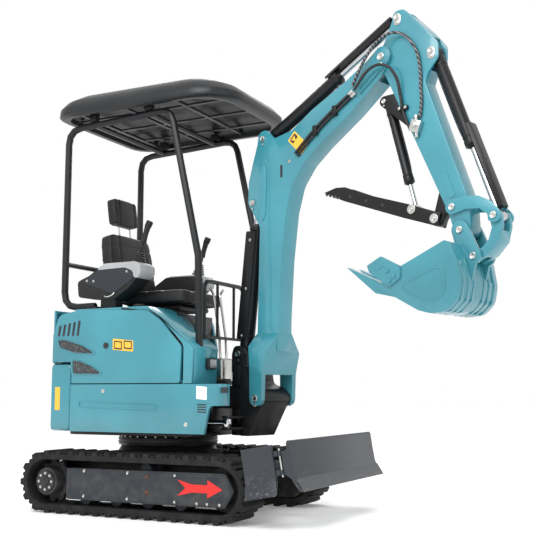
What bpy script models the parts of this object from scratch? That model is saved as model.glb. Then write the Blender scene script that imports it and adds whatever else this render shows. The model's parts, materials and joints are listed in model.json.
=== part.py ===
"""Mini excavator with canopy, dozer blade, swing boom, bucket and thumb.

Metres, +Z up, +X forward, +Y to the machine's left. The slew axis is the vertical through
(-FRAME_SHIFT_X, 0), the ground is Z = 0 and the origin is the middle of the footprint's box.
Everything on the boom side is drawn in the swing frame, whose X runs along the boom and whose
origin is the swing post's axis. The blade side is drawn level and then lifted about its pivot.
"""

import math

import bmesh
import bpy
from mathutils import Matrix, Vector

# ---------------------------------------------------------------- driving dimensions
FRAME_SHIFT_X = 0.7035
GAP = 0.0003
SIDES = 20

TRACK_OUTER_Y = 0.520
TRACK_WIDTH = 0.220
TRACK_REAR_X = -0.458
TRACK_FRONT_X = 0.625
TRACK_AXLE_Z = 0.165
TRACK_RADIUS = 0.165
LUG_COUNT = 38
LUG_HEIGHT = 0.020
BELT_THICKNESS = 0.027
TRACK_INNER_Y = TRACK_OUTER_Y - TRACK_WIDTH
LOOP_INNER_RADIUS = TRACK_RADIUS - LUG_HEIGHT - BELT_THICKNESS

RING_TOP_Z = 0.398
DECK_Z = 0.432
SPLIT_Z = 0.685
COVER_TOP_Z = 1.100
HOUSE_HALF_WIDTH = 0.455
TAIL_RADIUS = 0.660
POST_Y = 0.364
ROOF_Z = 2.215

BLADE_PIVOT = Vector((0.300, 0.0, 0.200))
BLADE_LIFT = math.radians(10.0)
BLADE_HALF_WIDTH = 0.535
WING_HINGE = Vector((0.985, -0.524, 0.0))

SWING_X = 0.500
SWING_ANGLE = math.radians(-15.0)

FOOT = Vector((0.200, 0.0, 0.611))
BOOM_CYL_BASE = Vector((0.005, 0.0, 0.851))
BOOM_CYL_PIN = Vector((0.104, 0.0, 1.681))
ARM_CYL_BASE = Vector((0.179, 0.0, 2.032))
ARM_PIVOT = Vector((0.985, 0.0, 2.300))
ARM_CYL_PIN = Vector((1.073, 0.0, 2.488))
BUCKET_CYL_BASE = Vector((1.262, 0.0, 2.268))
ROCKER_PIVOT = Vector((1.363, 0.0, 1.487))
LINK_PIN = Vector((1.571, 0.0, 1.423))
BUCKET_PIVOT = Vector((1.401, 0.0, 1.376))
BUCKET_LINK_PIN = Vector((1.466, 0.0, 1.250))
THUMB_PIVOT = Vector((1.257, 0.0, 1.451))
THUMB_CYL_PIN = Vector((1.132, 0.0, 1.515))
THUMB_CYL_BASE = Vector((0.981, 0.0, 2.076))
THUMB_TIP = Vector((0.600, 0.0, 1.682))
SWING_CYL_BASE = Vector((-0.100, -0.300, 0.482))
SWING_CYL_PIN = Vector((0.050, -0.190, 0.482))
BLADE_CYL_BASE = Vector((0.345, 0.0, 0.300))
BLADE_CYL_PIN = Vector((0.930, 0.0, 0.190))

BOOM_HALF = 0.055
ARM_HALF = 0.0475
FOOT_HALF = 0.138
BUCKET_HALF = 0.170

TEAL = (0.060, 0.330, 0.400)
BLACK = (0.012, 0.013, 0.014)
DARK = (0.030, 0.033, 0.038)
GREY = (0.320, 0.330, 0.335)
STEEL = (0.550, 0.550, 0.540)
RUBBER = (0.015, 0.015, 0.016)
SLATE = (0.035, 0.042, 0.050)
VINYL = (0.018, 0.018, 0.019)

# ---------------------------------------------------------------- scene and materials


def clear_scene():
    for obj in list(bpy.data.objects):
        bpy.data.objects.remove(obj, do_unlink=True)


clear_scene()
PARTS = bpy.data.collections.new("mini_excavator")
HELPERS = bpy.data.collections.new("cutters")
bpy.context.scene.collection.children.link(PARTS)
bpy.context.scene.collection.children.link(HELPERS)


def material(name, colour, roughness, metallic=0.0):
    mat = bpy.data.materials.new(name)
    mat.use_nodes = True
    shader = mat.node_tree.nodes["Principled BSDF"]
    shader.inputs["Base Color"].default_value = (*colour, 1.0)
    shader.inputs["Roughness"].default_value = roughness
    shader.inputs["Metallic"].default_value = metallic
    return mat


FINISHES = {
    "teal": (TEAL, 0.30, 0.0),
    "black": (BLACK, 0.45, 0.0),
    "dark": (DARK, 0.50, 0.0),
    "grey": (GREY, 0.55, 0.0),
    "steel": (STEEL, 0.20, 1.0),
    "rubber": (RUBBER, 0.80, 0.0),
    "slate": (SLATE, 0.45, 0.0),
    "vinyl": (VINYL, 0.70, 0.0),
}


def empty(name, place, parent=None, turn=(0.0, 0.0, 0.0)):
    obj = bpy.data.objects.new(name, None)
    obj.empty_display_size = 0.05
    obj.location = place
    obj.rotation_euler = turn
    obj.parent = parent
    PARTS.objects.link(obj)
    return obj


# ---------------------------------------------------------------- shapes


def held(mesh, name="helper"):
    obj = bpy.data.objects.new(name, mesh)
    obj.hide_render = True
    obj.display_type = "WIRE"
    HELPERS.objects.link(obj)
    return obj


def frozen(obj):
    """The object with its modifiers applied, as a mesh whose caps are welded."""
    bpy.context.view_layer.update()
    graph = bpy.context.evaluated_depsgraph_get()
    mesh = bpy.data.meshes.new_from_object(obj.evaluated_get(graph))
    mesh.transform(obj.matrix_world)
    bpy.data.objects.remove(obj, do_unlink=True)
    bm = bmesh.new()
    bm.from_mesh(mesh)
    bmesh.ops.remove_doubles(bm, verts=bm.verts, dist=0.00002)
    bmesh.ops.recalc_face_normals(bm, faces=bm.faces)
    bm.to_mesh(mesh)
    bm.free()
    return held(mesh)


def bevelled(obj, width, segments=1, angle=35.0):
    bevel = obj.modifiers.new("edges", "BEVEL")
    bevel.width = width
    bevel.segments = segments
    bevel.limit_method = "ANGLE"
    bevel.angle_limit = math.radians(angle)
    return frozen(obj)


def box(low, high, bevel=0.0, segments=1):
    low, high = Vector(low), Vector(high)
    bm = bmesh.new()
    bmesh.ops.create_cube(bm, size=1.0)
    bmesh.ops.scale(bm, vec=high - low, verts=bm.verts)
    bmesh.ops.translate(bm, vec=(low + high) / 2, verts=bm.verts)
    mesh = bpy.data.meshes.new("box")
    bm.to_mesh(mesh)
    bm.free()
    obj = held(mesh)
    return bevelled(obj, bevel, segments) if bevel else obj


def rod(start, end, radius, sides=SIDES, end_radius=None):
    start, end = Vector(start), Vector(end)
    run = end - start
    bm = bmesh.new()
    bmesh.ops.create_cone(
        bm,
        cap_ends=True,
        segments=sides,
        radius1=radius,
        radius2=radius if end_radius is None else end_radius,
        depth=run.length,
    )
    turn = run.to_track_quat("Z", "Y").to_matrix().to_4x4()
    bm.transform(Matrix.Translation((start + end) / 2) @ turn)
    mesh = bpy.data.meshes.new("rod")
    bm.to_mesh(mesh)
    bm.free()
    return held(mesh)


def cross_rod(centre, half, radius, sides=SIDES):
    """A cylinder along Y, as a pin, boss or eye."""
    centre = Vector(centre)
    side = Vector((0.0, half, 0.0))
    return rod(centre - side, centre + side, radius, sides)


def rounded(points, radii, steps=4):
    """The corners of an outline, each turned into an arc of its own radius."""
    outline = []
    count = len(points)
    for index, corner in enumerate(points):
        radius = radii[index] if isinstance(radii, (list, tuple)) else radii
        here = Vector(corner)
        before = Vector(points[index - 1]) - here
        after = Vector(points[(index + 1) % count]) - here
        turn = before.angle(after)
        if radius <= 0.0 or turn > math.pi - 0.02:
            outline.append(here)
            continue
        reach = min(radius / math.tan(turn / 2), 0.49 * before.length, 0.49 * after.length)
        radius = reach * math.tan(turn / 2)
        middle = (before.normalized() + after.normalized()).normalized()
        centre = here + middle * (radius / math.sin(turn / 2))
        first = here + before.normalized() * reach - centre
        last = here + after.normalized() * reach - centre
        for step in range(steps + 1):
            part = first.lerp(last, step / steps).normalized() * radius
            outline.append(centre + part)
    return outline


def arc(centre, radius, start, end, steps):
    """Points along an arc, from one angle to the other, in degrees."""
    angles = [math.radians(start + (end - start) * step / steps) for step in range(steps + 1)]
    return [Vector((centre[0] + radius * math.cos(a), centre[1] + radius * math.sin(a))) for a in angles]


def outline_sheet(outlines, thickness):
    """Flat outlines as a 2D curve, filled and extruded by half the thickness each way."""
    curve = bpy.data.curves.new("outline", "CURVE")
    curve.dimensions = "2D"
    curve.fill_mode = "BOTH"
    curve.extrude = thickness / 2
    for outline in outlines:
        spline = curve.splines.new("POLY")
        spline.points.add(len(outline) - 1)
        for point, place in zip(spline.points, outline):
            point.co = (place[0], place[1], 0.0, 1.0)
        spline.use_cyclic_u = True
    obj = bpy.data.objects.new("outline", curve)
    HELPERS.objects.link(obj)
    return obj


def side_plate(outlines, low_y, high_y):
    """An outline drawn in X and Z, standing from low_y to high_y."""
    if not isinstance(outlines[0], list):
        outlines = [outlines]
    obj = outline_sheet(outlines, high_y - low_y)
    obj.matrix_world = Matrix.Translation(
        (0, (low_y + high_y) / 2, 0)
    ) @ Matrix.Rotation(math.pi / 2, 4, "X")
    return frozen(obj)


def floor_plate(outlines, low_z, high_z):
    """An outline drawn in X and Y, lying from low_z to high_z."""
    if not isinstance(outlines[0], list):
        outlines = [outlines]
    obj = outline_sheet(outlines, high_z - low_z)
    obj.matrix_world = Matrix.Translation((0, 0, (low_z + high_z) / 2))
    return frozen(obj)


def tube(points, radius, resolution=2, corner=0.0, sides_steps=3):
    """A bent tube through the points, with filled ends."""
    places = [Vector(point) for point in points]
    if corner:
        places = bent(places, corner, sides_steps)
    curve = bpy.data.curves.new("tube", "CURVE")
    curve.dimensions = "3D"
    curve.bevel_depth = radius
    curve.bevel_resolution = resolution
    curve.use_fill_caps = True
    spline = curve.splines.new("POLY")
    spline.points.add(len(places) - 1)
    for point, place in zip(spline.points, places):
        point.co = (*place, 1.0)
    obj = bpy.data.objects.new("tube", curve)
    HELPERS.objects.link(obj)
    return frozen(obj)


def bent(places, radius, steps):
    """A path whose inner corners are arcs of this radius."""
    path = [places[0]]
    for before, here, after in zip(places, places[1:], places[2:]):
        back, on = before - here, after - here
        turn = back.angle(on)
        reach = min(radius / math.tan(turn / 2), 0.49 * back.length, 0.49 * on.length)
        start = here + back.normalized() * reach
        end = here + on.normalized() * reach
        for step in range(steps + 1):
            t = step / steps
            path.append(start.lerp(here, t).lerp(here.lerp(end, t), t))
    path.append(places[-1])
    return path


def turned(profile, start, end):
    """A profile of (radius, distance) turned about the line from start towards end, closed at both ends."""
    start, end = Vector(start), Vector(end)
    bm = bmesh.new()
    verts = [bm.verts.new((radius, 0.0, along)) for radius, along in profile]
    for first, second in zip(verts, verts[1:]):
        bm.edges.new((first, second))
    mesh = bpy.data.meshes.new("turned")
    bm.to_mesh(mesh)
    bm.free()
    obj = held(mesh)
    screw = obj.modifiers.new("turn", "SCREW")
    screw.axis = "Z"
    screw.steps = SIDES
    screw.render_steps = SIDES
    screw.use_merge_vertices = True
    screw.merge_threshold = 0.0001
    obj.matrix_world = Matrix.Translation(start) @ (
        end - start
    ).to_track_quat("Z", "Y").to_matrix().to_4x4()
    return frozen(obj)


def loft(rings):
    """A closed body through rings of the same number of points, capped at both ends."""
    bm = bmesh.new()
    rows = [[bm.verts.new(place) for place in ring] for ring in rings]
    for low, high in zip(rows, rows[1:]):
        for index in range(len(low)):
            following = (index + 1) % len(low)
            bm.faces.new((low[index], low[following], high[following], high[index]))
    bm.faces.new(rows[0][::-1])
    bm.faces.new(rows[-1])
    bmesh.ops.triangulate(bm, faces=bm.faces)
    bmesh.ops.recalc_face_normals(bm, faces=bm.faces)
    mesh = bpy.data.meshes.new("loft")
    bm.to_mesh(mesh)
    bm.free()
    return held(mesh)


def combine(first, others, operation):
    for index, other in enumerate(others):
        modifier = first.modifiers.new(f"{operation}_{index}", "BOOLEAN")
        modifier.operation = operation
        modifier.solver = "EXACT"
        modifier.object = other
    result = frozen(first)
    for other in others:
        bpy.data.objects.remove(other, do_unlink=True)
    return result


def join(first, *others):
    return combine(first, others, "UNION")


def cut(first, *others):
    return combine(first, others, "DIFFERENCE")


def mirrored(obj):
    """A copy on the other side of the X-Z plane."""
    mesh = obj.data.copy()
    mesh.transform(Matrix.Diagonal((1, -1, 1, 1)))
    mesh.flip_normals()
    return held(mesh)


def piece(name, obj, finish, joint):
    """Names a finished shape, gives it its material and hangs it on its joint's empty."""
    group, place = joint
    mesh = obj.data
    mesh.transform(Matrix.Translation(-place))
    mesh.name = name
    bpy.data.objects.remove(obj, do_unlink=True)
    named = bpy.data.objects.new(name, mesh)
    named.data.materials.append(material(name, *FINISHES[finish]))
    named.parent = group
    mesh.shade_smooth()
    mesh.set_sharp_from_angle(angle=math.radians(35))
    PARTS.objects.link(named)
    return named


# ---------------------------------------------------------------- joints

machine = empty("machine", (-FRAME_SHIFT_X, 0, 0))
house_axis = empty("slew_axis", (0, 0, RING_TOP_Z), machine)
blade_axis = empty("blade_axis", BLADE_PIVOT, machine, (0, -BLADE_LIFT, 0))
swing_axis = empty("swing_axis", (SWING_X, 0, 0), machine, (0, 0, SWING_ANGLE))


def on_machine(name, place):
    return empty(name, place, machine), Vector(place)


def on_swing(name, place):
    return empty(name, place, swing_axis), Vector(place)


def on_blade(name, place):
    return empty(name, Vector(place) - BLADE_PIVOT, blade_axis), Vector(place)


ROOT = (machine, Vector((0, 0, 0)))
HOUSE = (house_axis, Vector((0, 0, RING_TOP_Z)))
BLADE = (blade_axis, BLADE_PIVOT)
SWING = (swing_axis, Vector((0, 0, 0)))
BOOM = on_swing("boom_axis", FOOT)
ARM = on_swing("arm_axis", ARM_PIVOT)
BUCKET = on_swing("bucket_axis", BUCKET_PIVOT)
ROCKER = on_swing("rocker_axis", ROCKER_PIVOT)
LINK = on_swing("link_axis", LINK_PIN)
THUMB = on_swing("thumb_axis", THUMB_PIVOT)

# ---------------------------------------------------------------- undercarriage


def stadium(radius, lugs=0):
    """The track's loop at this radius, with evenly spaced lugs where they are asked for."""
    straight = TRACK_FRONT_X - TRACK_REAR_X
    length = 2 * straight + 2 * math.pi * radius

    def at(distance, height):
        distance %= length
        reach = radius + height
        if distance < straight:
            return Vector((TRACK_REAR_X + distance, TRACK_AXLE_Z - reach))
        distance -= straight
        if distance < math.pi * radius:
            angle = distance / radius - math.pi / 2
            return Vector(
                (TRACK_FRONT_X + reach * math.cos(angle), TRACK_AXLE_Z + reach * math.sin(angle))
            )
        distance -= math.pi * radius
        if distance < straight:
            return Vector((TRACK_FRONT_X - distance, TRACK_AXLE_Z + reach))
        angle = (distance - straight) / radius + math.pi / 2
        return Vector((TRACK_REAR_X + reach * math.cos(angle), TRACK_AXLE_Z + reach * math.sin(angle)))

    if not lugs:
        turns = [Vector(p) for p in arc((TRACK_FRONT_X, TRACK_AXLE_Z), radius, -90, 90, 12)]
        return turns + arc((TRACK_REAR_X, TRACK_AXLE_Z), radius, 90, 270, 12)
    pitch = length / lugs
    outline = []
    for lug in range(lugs):
        for part, height in ((0.0, 0.0), (0.10, LUG_HEIGHT), (0.42, LUG_HEIGHT), (0.52, 0.0)):
            outline.append(at((lug + part) * pitch, height))
    return outline


def make_track():
    outer = stadium(TRACK_RADIUS - LUG_HEIGHT, LUG_COUNT)
    inner = stadium(LOOP_INNER_RADIUS)
    return side_plate([outer, inner], -TRACK_OUTER_Y, -TRACK_INNER_Y)


def make_track_frame():
    beam = box((-0.325, -0.469, 0.105), (0.480, -0.345, 0.225))
    plate = rounded(
        [(-0.318, 0.078), (0.658, 0.082), (0.708, 0.166), (0.658, 0.247), (-0.318, 0.240)],
        [0.012, 0.012, 0.008, 0.012, 0.012],
        2,
    )
    pieces = [side_plate(plate, -0.500, -0.468)]
    arms = [(-0.470, 0.135), (0.660, 0.135), (0.660, 0.195), (-0.470, 0.195)]
    pieces.append(side_plate(rounded(arms, 0.029, 3), -0.362, -0.336))
    pieces.append(cross_rod((TRACK_FRONT_X, -0.42, TRACK_AXLE_Z), 0.07, 0.018, 12))
    for x in (-0.22, -0.02, 0.18, 0.38):
        pieces.append(cross_rod((x, -0.407, 0.087), 0.052, 0.038, 14))
    pieces.append(cross_rod((0.15, -0.407, 0.240), 0.030, 0.036, 14))
    return join(beam, *pieces)


def make_sprocket():
    teeth = 11
    outline = []
    for tooth in range(teeth):
        centre = 360.0 * tooth / teeth
        for offset, radius in ((-11.0, 0.098), (-5.0, 0.115), (5.0, 0.115), (11.0, 0.098)):
            outline += arc((TRACK_REAR_X, TRACK_AXLE_Z), radius, centre + offset, centre + offset, 1)[:1]
    wheel = side_plate(outline, -0.425, -0.395)
    drum = rod((TRACK_REAR_X, -0.498, TRACK_AXLE_Z), (TRACK_REAR_X, -0.3625, TRACK_AXLE_Z), 0.072)
    return join(wheel, drum)


def make_idler():
    centre = (TRACK_FRONT_X, 0, TRACK_AXLE_Z)
    profile = [(0.020, 0.0), (0.070, 0.0), (0.078, 0.012), (0.112, 0.012), (0.1165, 0.020)]
    profile += [
        (0.1165, 0.050), (0.112, 0.058), (0.078, 0.058), (0.070, 0.070), (0.020, 0.070), (0.020, 0.0)
    ]
    start = Vector(centre) + Vector((0, -0.442, 0))
    return turned(profile, start, start + Vector((0, 1, 0)))


def make_lower_frame():
    body = box((-0.220, -0.250, 0.150), (0.270, 0.250, 0.300), 0.015)
    legs = [box((x, -0.3357, 0.130), (x + 0.150, 0.3357, 0.220)) for x in (-0.200, 0.110)]
    tower = rod((0, 0, 0.290), (0, 0, 0.352), 0.300, 28, 0.262)
    ears = [
        box((0.250, y - 0.012, 0.160), (0.325, y + 0.012, 0.245))
        for y in (-0.232, -0.158, 0.158, 0.232)
    ]
    lugs = [box((0.250, y - 0.009, 0.215), (0.372, y + 0.009, 0.330)) for y in (-0.037, 0.037)]
    return join(body, *legs, tower, *ears, *lugs)


for side, flip in (("right", False), ("left", True)):
    for label, maker, finish in (
        ("track_frame", make_track_frame, "dark"),
        ("track", make_track, "rubber"),
        ("sprocket", make_sprocket, "black"),
        ("idler", make_idler, "black"),
    ):
        shape = maker()
        if flip:
            original = shape
            shape = mirrored(original)
            bpy.data.objects.remove(original, do_unlink=True)
        piece(f"{side}_{label}", shape, finish, ROOT)

piece("lower_frame", make_lower_frame(), "black", ROOT)
piece("slew_bearing", rod((0, 0, 0.352 + GAP), (0, 0, RING_TOP_Z), 0.280, 32), "black", ROOT)

# ---------------------------------------------------------------- cylinders


def make_cylinder(base, pin, bore_length, outer, inner, eye_radius):
    """The barrel of a cylinder, open at the rod's end, with the eye at its base."""
    along = (pin - base).normalized()
    tail = 0.9 * eye_radius
    profile = [
        (0.0, tail), (outer, tail), (outer, bore_length - 0.030), (outer * 1.10, bore_length - 0.028)
    ]
    profile += [
        (outer * 1.10, bore_length), (inner, bore_length), (inner, tail + 0.030), (0.0, tail + 0.030)
    ]
    barrel = turned(profile, base, base + along)
    return barrel, along


def cylinder_pair(
    name, joint, pin, bore_length, outer, rod_radius, eye_half, eye_radius, reach, axis="Y"
):
    """Barrel and rod between the joint's place and the pin. reach is how much rod lies in the barrel."""
    base = joint[1]
    barrel, along = make_cylinder(base, pin, bore_length, outer, rod_radius + 0.0006, eye_radius)
    side = Vector((0, eye_half, 0)) if axis == "Y" else Vector((0, 0, eye_half))
    barrel = join(barrel, rod(base - side, base + side, eye_radius, 16))
    length = (pin - base).length
    stem = rod(base + along * (bore_length - reach), pin - along * 0.5 * eye_radius, rod_radius, 14)
    shaft = join(stem, rod(pin - side, pin + side, eye_radius, 16))
    piece(f"{name}_barrel", barrel, "black", joint)
    group, place = joint
    rod_joint = (empty(f"{name}_rod_slide", pin - place, group), pin)
    piece(f"{name}_rod", shaft, "steel", rod_joint)
    return length


# ---------------------------------------------------------------- blade


def blade_profile(thickness):
    """The mouldboard's section in X and Z: upright, then kicking forward to the cutting edge."""
    front = [(1.049, 0.284), (1.047, 0.200), (1.049, 0.130), (1.056, 0.098), (1.081, 0.047)]
    back = [(x - thickness, z + (0.006 if index == 4 else 0.0)) for index, (x, z) in enumerate(front)]
    return [Vector(p) for p in front + back[::-1]]


def make_blade():
    board = side_plate(blade_profile(0.018), -BLADE_HALF_WIDTH, BLADE_HALF_WIDTH)
    rail = box((0.985, -0.480, 0.180), (1.0345, 0.480, 0.235), 0.008)
    ribs = []
    for y in (-0.527, 0.527):
        ribs.append(
            side_plate(
                [Vector(p) for p in ((1.035, 0.110), (1.035, 0.260), (1.000, 0.240), (1.000, 0.140))],
                y - 0.007,
                y + 0.007,
            )
        )
    for y in (-0.033, 0.033):
        outline = rounded(
            [(1.036, 0.130), (1.036, 0.255), (0.915, 0.225), (0.905, 0.160)], [0, 0, 0.02, 0.02], 3
        )
        ribs.append(side_plate(outline, y - 0.008, y + 0.008))
    return join(board, rail, *ribs)


def make_push_frame():
    arms = []
    for y in (-0.195, 0.195):
        outline = rounded(
            [
                (0.275, 0.175), (0.330, 0.165), (0.984, 0.145), (0.984, 0.200), (0.360, 0.232),
                (0.275, 0.225),
            ],
            [0.022, 0, 0, 0, 0, 0.022],
            3,
        )
        arms.append(side_plate(outline, y - 0.024, y + 0.024))
    return join(box((0.560, -0.20, 0.165), (0.640, 0.20, 0.205)), *arms)


def make_wing():
    """Drawn folded: the same section turned to face outwards, behind the blade's right end."""
    half = 0.083
    profile = [Vector((x - 1.049, z)) for x, z in blade_profile(0.016)]
    sheet = outline_sheet([profile], 2 * half)
    turn = Matrix.Rotation(-math.pi / 2, 4, "Z") @ Matrix.Rotation(math.pi / 2, 4, "X")
    sheet.matrix_world = Matrix.Translation((0.872, -0.5434, 0.0)) @ turn
    board = frozen(sheet)
    straps = [box((0.930, -0.5310, z - 0.012), (0.975, -0.5175, z + 0.012)) for z in (0.150, 0.240)]
    knuckles = [
        rod((0.985, -0.524, z - 0.012), (0.985, -0.524, z + 0.012), 0.011, 12)
        for z in (0.150, 0.240)
    ]
    return join(board, *straps, *knuckles)


piece("blade_push_frame", make_push_frame(), "slate", BLADE)
piece("dozer_blade", make_blade(), "slate", BLADE)
right_wing = make_wing()
left_wing = mirrored(right_wing)
piece("right_wing", right_wing, "slate", on_blade("right_wing_axis", WING_HINGE))
piece("left_wing", left_wing, "slate", on_blade("left_wing_axis", (WING_HINGE.x, -WING_HINGE.y, 0)))


def lifted(place):
    """A blade point at its lifted place, in the machine's frame."""
    return BLADE_PIVOT + Matrix.Rotation(-BLADE_LIFT, 3, "Y") @ (Vector(place) - BLADE_PIVOT)


cylinder_pair(
    "blade_cylinder",
    on_machine("blade_cylinder_axis", BLADE_CYL_BASE),
    lifted(BLADE_CYL_PIN),
    0.400,
    0.027,
    0.014,
    0.0245,
    0.024,
    0.300,
)

# ---------------------------------------------------------------- house


def tail_outline(radius, half_width, front_x, steps=16):
    """The tail's plan: an arc about the slew axis between straight sides, closed along front_x."""
    edge = math.degrees(math.asin(half_width / radius))
    points = arc((0, 0), radius, 180 - edge, 180 + edge, steps)
    return [Vector((front_x, half_width))] + points + [Vector((front_x, -half_width))]


def make_house_frame():
    plate = floor_plate(
        rounded([(-0.46, -0.34), (0.38, -0.34), (0.38, 0.34), (-0.46, 0.34)], 0.05, 2), 0.410, DECK_Z
    )
    turntable = rod((0, 0, RING_TOP_Z + GAP), (0, 0, 0.420), 0.262, 28)
    beam = box((-0.045, -0.120, 0.425), (0.360, 0.120, 0.680), 0.010)
    neck = box((0.300, -0.054, 0.556), (SWING_X, 0.054, 0.679))
    nose = rod((SWING_X, 0, 0.556), (SWING_X, 0, 0.679), 0.060)
    lugs = []
    for z in (0.452, 0.512):
        outline = [Vector((-0.140, -0.278))] + [Vector((-0.140, -0.322))] + arc(
            SWING_CYL_BASE.xy, 0.022, 270, 450, 8
        )
        lugs.append(floor_plate(outline, z - 0.010, z + 0.010))
    web = box((-0.175, -0.335, 0.425), (-0.133, -0.250, 0.522))
    return join(plate, turntable, beam, neck, nose, *lugs, web)


def make_counterweight():
    body = floor_plate(tail_outline(TAIL_RADIUS, HOUSE_HALF_WIDTH, -0.350), DECK_Z + GAP, 0.800)
    body = bevelled(body, 0.025, 2, 60)
    inside = box((-0.450, -0.400, 0.40), (-0.30, 0.400, 0.90))
    return cut(body, inside)


def make_lower_panel(front_x, nose_y):
    """A side skirt: a bent panel whose front turns in as a nose."""
    wall = 0.020
    outer = [(-0.347, -HOUSE_HALF_WIDTH), (front_x, -HOUSE_HALF_WIDTH), (front_x, nose_y)]
    inner = [
        (front_x - wall, nose_y), (front_x - wall, -HOUSE_HALF_WIDTH + wall),
        (-0.347, -HOUSE_HALF_WIDTH + wall),
    ]
    outline = rounded(outer + inner, [0, 0.075, 0, 0, 0.055, 0], 5)
    return floor_plate(outline, DECK_Z + GAP, SPLIT_Z)


def make_right_panel():
    panel = make_lower_panel(0.600, -0.354)
    under = [(0.500, 0.400), (0.535, 0.560), (0.550, 0.575), (0.700, 0.575), (0.700, 0.400)]
    under = side_plate([Vector(p) for p in under], -0.60, -0.20)
    deck = floor_plate(
        rounded(
            [(0.400, -HOUSE_HALF_WIDTH + 0.01), (0.595, -0.445), (0.595, -0.354), (0.400, -0.354)],
            [0, 0.06, 0, 0],
            4,
        ),
        0.665,
        SPLIT_Z,
    )
    return join(cut(panel, under), deck)


def make_right_top_cover():
    """The fixed top, front and inner walls over the right-hand tanks, open on the door's side."""
    outer = rounded(
        [
            (-0.345, SPLIT_Z + GAP), (0.432, SPLIT_Z + GAP), (0.440, 0.880), (0.210, 1.060),
            (0.140, COVER_TOP_Z), (-0.345, COVER_TOP_Z),
        ],
        [0, 0, 0.03, 0.10, 0.06, 0],
        4,
    )
    shell = side_plate(outer, -0.433, -0.200)
    inner = rounded(
        [
            (-0.365, 0.705), (0.405, 0.705), (0.415, 0.865), (0.195, 1.040), (0.135, 1.078),
            (-0.365, 1.078),
        ],
        [0, 0, 0.02, 0.06, 0.03, 0],
        3,
    )
    return cut(shell, side_plate(inner, -0.60, -0.220))


def make_right_door():
    outline = rounded(
        [
            (-0.342, 0.808), (-0.342, SPLIT_Z + 0.006), (0.360, SPLIT_Z + 0.006), (0.368, 0.880),
            (0.235, 1.020), (0.150, 1.075), (-0.300, 1.092), (-0.440, 1.070), (-0.478, 0.960), (-0.478, 0.808),
        ],
        [0, 0.01, 0.01, 0.03, 0.08, 0.06, 0.12, 0.05, 0.03, 0],
        3,
    )
    return bevelled(side_plate(outline, -HOUSE_HALF_WIDTH, -0.4336), 0.006, 1, 60)


def make_rear_bonnet():
    outer = tail_outline(TAIL_RADIUS - 0.004, 0.430, -0.485)
    inner = tail_outline(TAIL_RADIUS - 0.030, 0.405, -0.40)
    shell = floor_plate(outer, 0.803, COVER_TOP_Z)
    shell = bevelled(shell, 0.020, 2, 60)
    return cut(shell, floor_plate(inner, 0.70, COVER_TOP_Z - 0.024))


def make_engine_cover():
    """The hollow step behind the seat and under it, over the engine."""
    shell = join(
        box((-0.480, -0.198, 0.803), (0.030, 0.432, COVER_TOP_Z)),
        box((-0.340, -0.198, SPLIT_Z + 0.025), (0.030, 0.432, 0.850)),
    )
    hollow = join(
        box((-0.600, -0.180, 0.780), (0.012, 0.414, COVER_TOP_Z - 0.018)),
        box((-0.400, -0.180, 0.600), (0.012, 0.414, 0.850)),
    )
    return cut(shell, hollow)


def make_left_panel():
    plate = rounded(
        [
            (-0.342, 0.808), (-0.342, SPLIT_Z + 0.006), (0.020, SPLIT_Z + 0.006), (0.060, 0.900),
            (0.020, 1.092), (-0.300, 1.092), (-0.440, 1.070), (-0.478, 0.960), (-0.478, 0.808),
        ],
        [0, 0.01, 0.02, 0.06, 0.05, 0.12, 0.05, 0.03, 0],
        3,
    )
    return bevelled(side_plate(plate, 0.4336, HOUSE_HALF_WIDTH), 0.006, 1, 60)


def make_floor():
    return floor_plate(
        rounded(
            [(0.032, -0.198), (0.400, -0.198), (0.400, 0.430), (0.032, 0.430)], [0, 0.01, 0.06, 0], 4
        ),
        SPLIT_Z + 0.001,
        0.708,
    )


piece("house_frame", make_house_frame(), "black", HOUSE)
piece("counterweight", make_counterweight(), "teal", HOUSE)
piece("right_lower_panel", make_right_panel(), "teal", HOUSE)
left_panel = make_lower_panel(0.430, -0.335)
piece("left_lower_panel", mirrored(left_panel), "teal", HOUSE)
bpy.data.objects.remove(left_panel, do_unlink=True)
piece("right_top_cover", make_right_top_cover(), "teal", HOUSE)
piece("engine_cover", make_engine_cover(), "black", HOUSE)
piece("left_cover", make_left_panel(), "teal", HOUSE)
piece("floor_plate", make_floor(), "black", HOUSE)
piece("engine_block", box((-0.440, -0.150, DECK_Z + GAP), (-0.060, 0.300, 0.980), 0.02), "dark", HOUSE)
piece(
    "right_door",
    make_right_door(),
    "teal",
    on_machine("right_door_axis", (0.373, -HOUSE_HALF_WIDTH, 0.9)),
)
piece("rear_bonnet", make_rear_bonnet(), "teal", on_machine("rear_bonnet_axis", (-0.484, 0, COVER_TOP_Z)))

# ---------------------------------------------------------------- operator's place


def cushion(low, high, bevel):
    return box(low, high, bevel, 2)


def make_seat_base():
    return box((-0.270, -0.160, COVER_TOP_Z + GAP), (0.170, 0.160, 1.130), 0.010)


def make_seat_back():
    pad = cushion((-0.045, -0.215, 0.0), (0.045, 0.215, 0.345), 0.030)
    pad = join(pad, box((-0.045, -0.030, -0.10), (-0.020, 0.030, 0.10)))
    pad.matrix_world = Matrix.Translation((-0.270, 0, 1.225)) @ Matrix.Rotation(math.radians(-10), 4, "Y")
    return frozen(pad)


def make_headrest():
    pad = cushion((-0.035, -0.120, 0.060), (0.035, 0.120, 0.225), 0.028)
    stems = [rod((0.0, y, 0.0), (0.0, y, 0.10), 0.006, 8) for y in (-0.055, 0.055)]
    pad = join(pad, *stems)
    pad.matrix_world = Matrix.Translation((-0.333, 0, 1.572)) @ Matrix.Rotation(math.radians(-8), 4, "Y")
    return frozen(pad)


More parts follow.
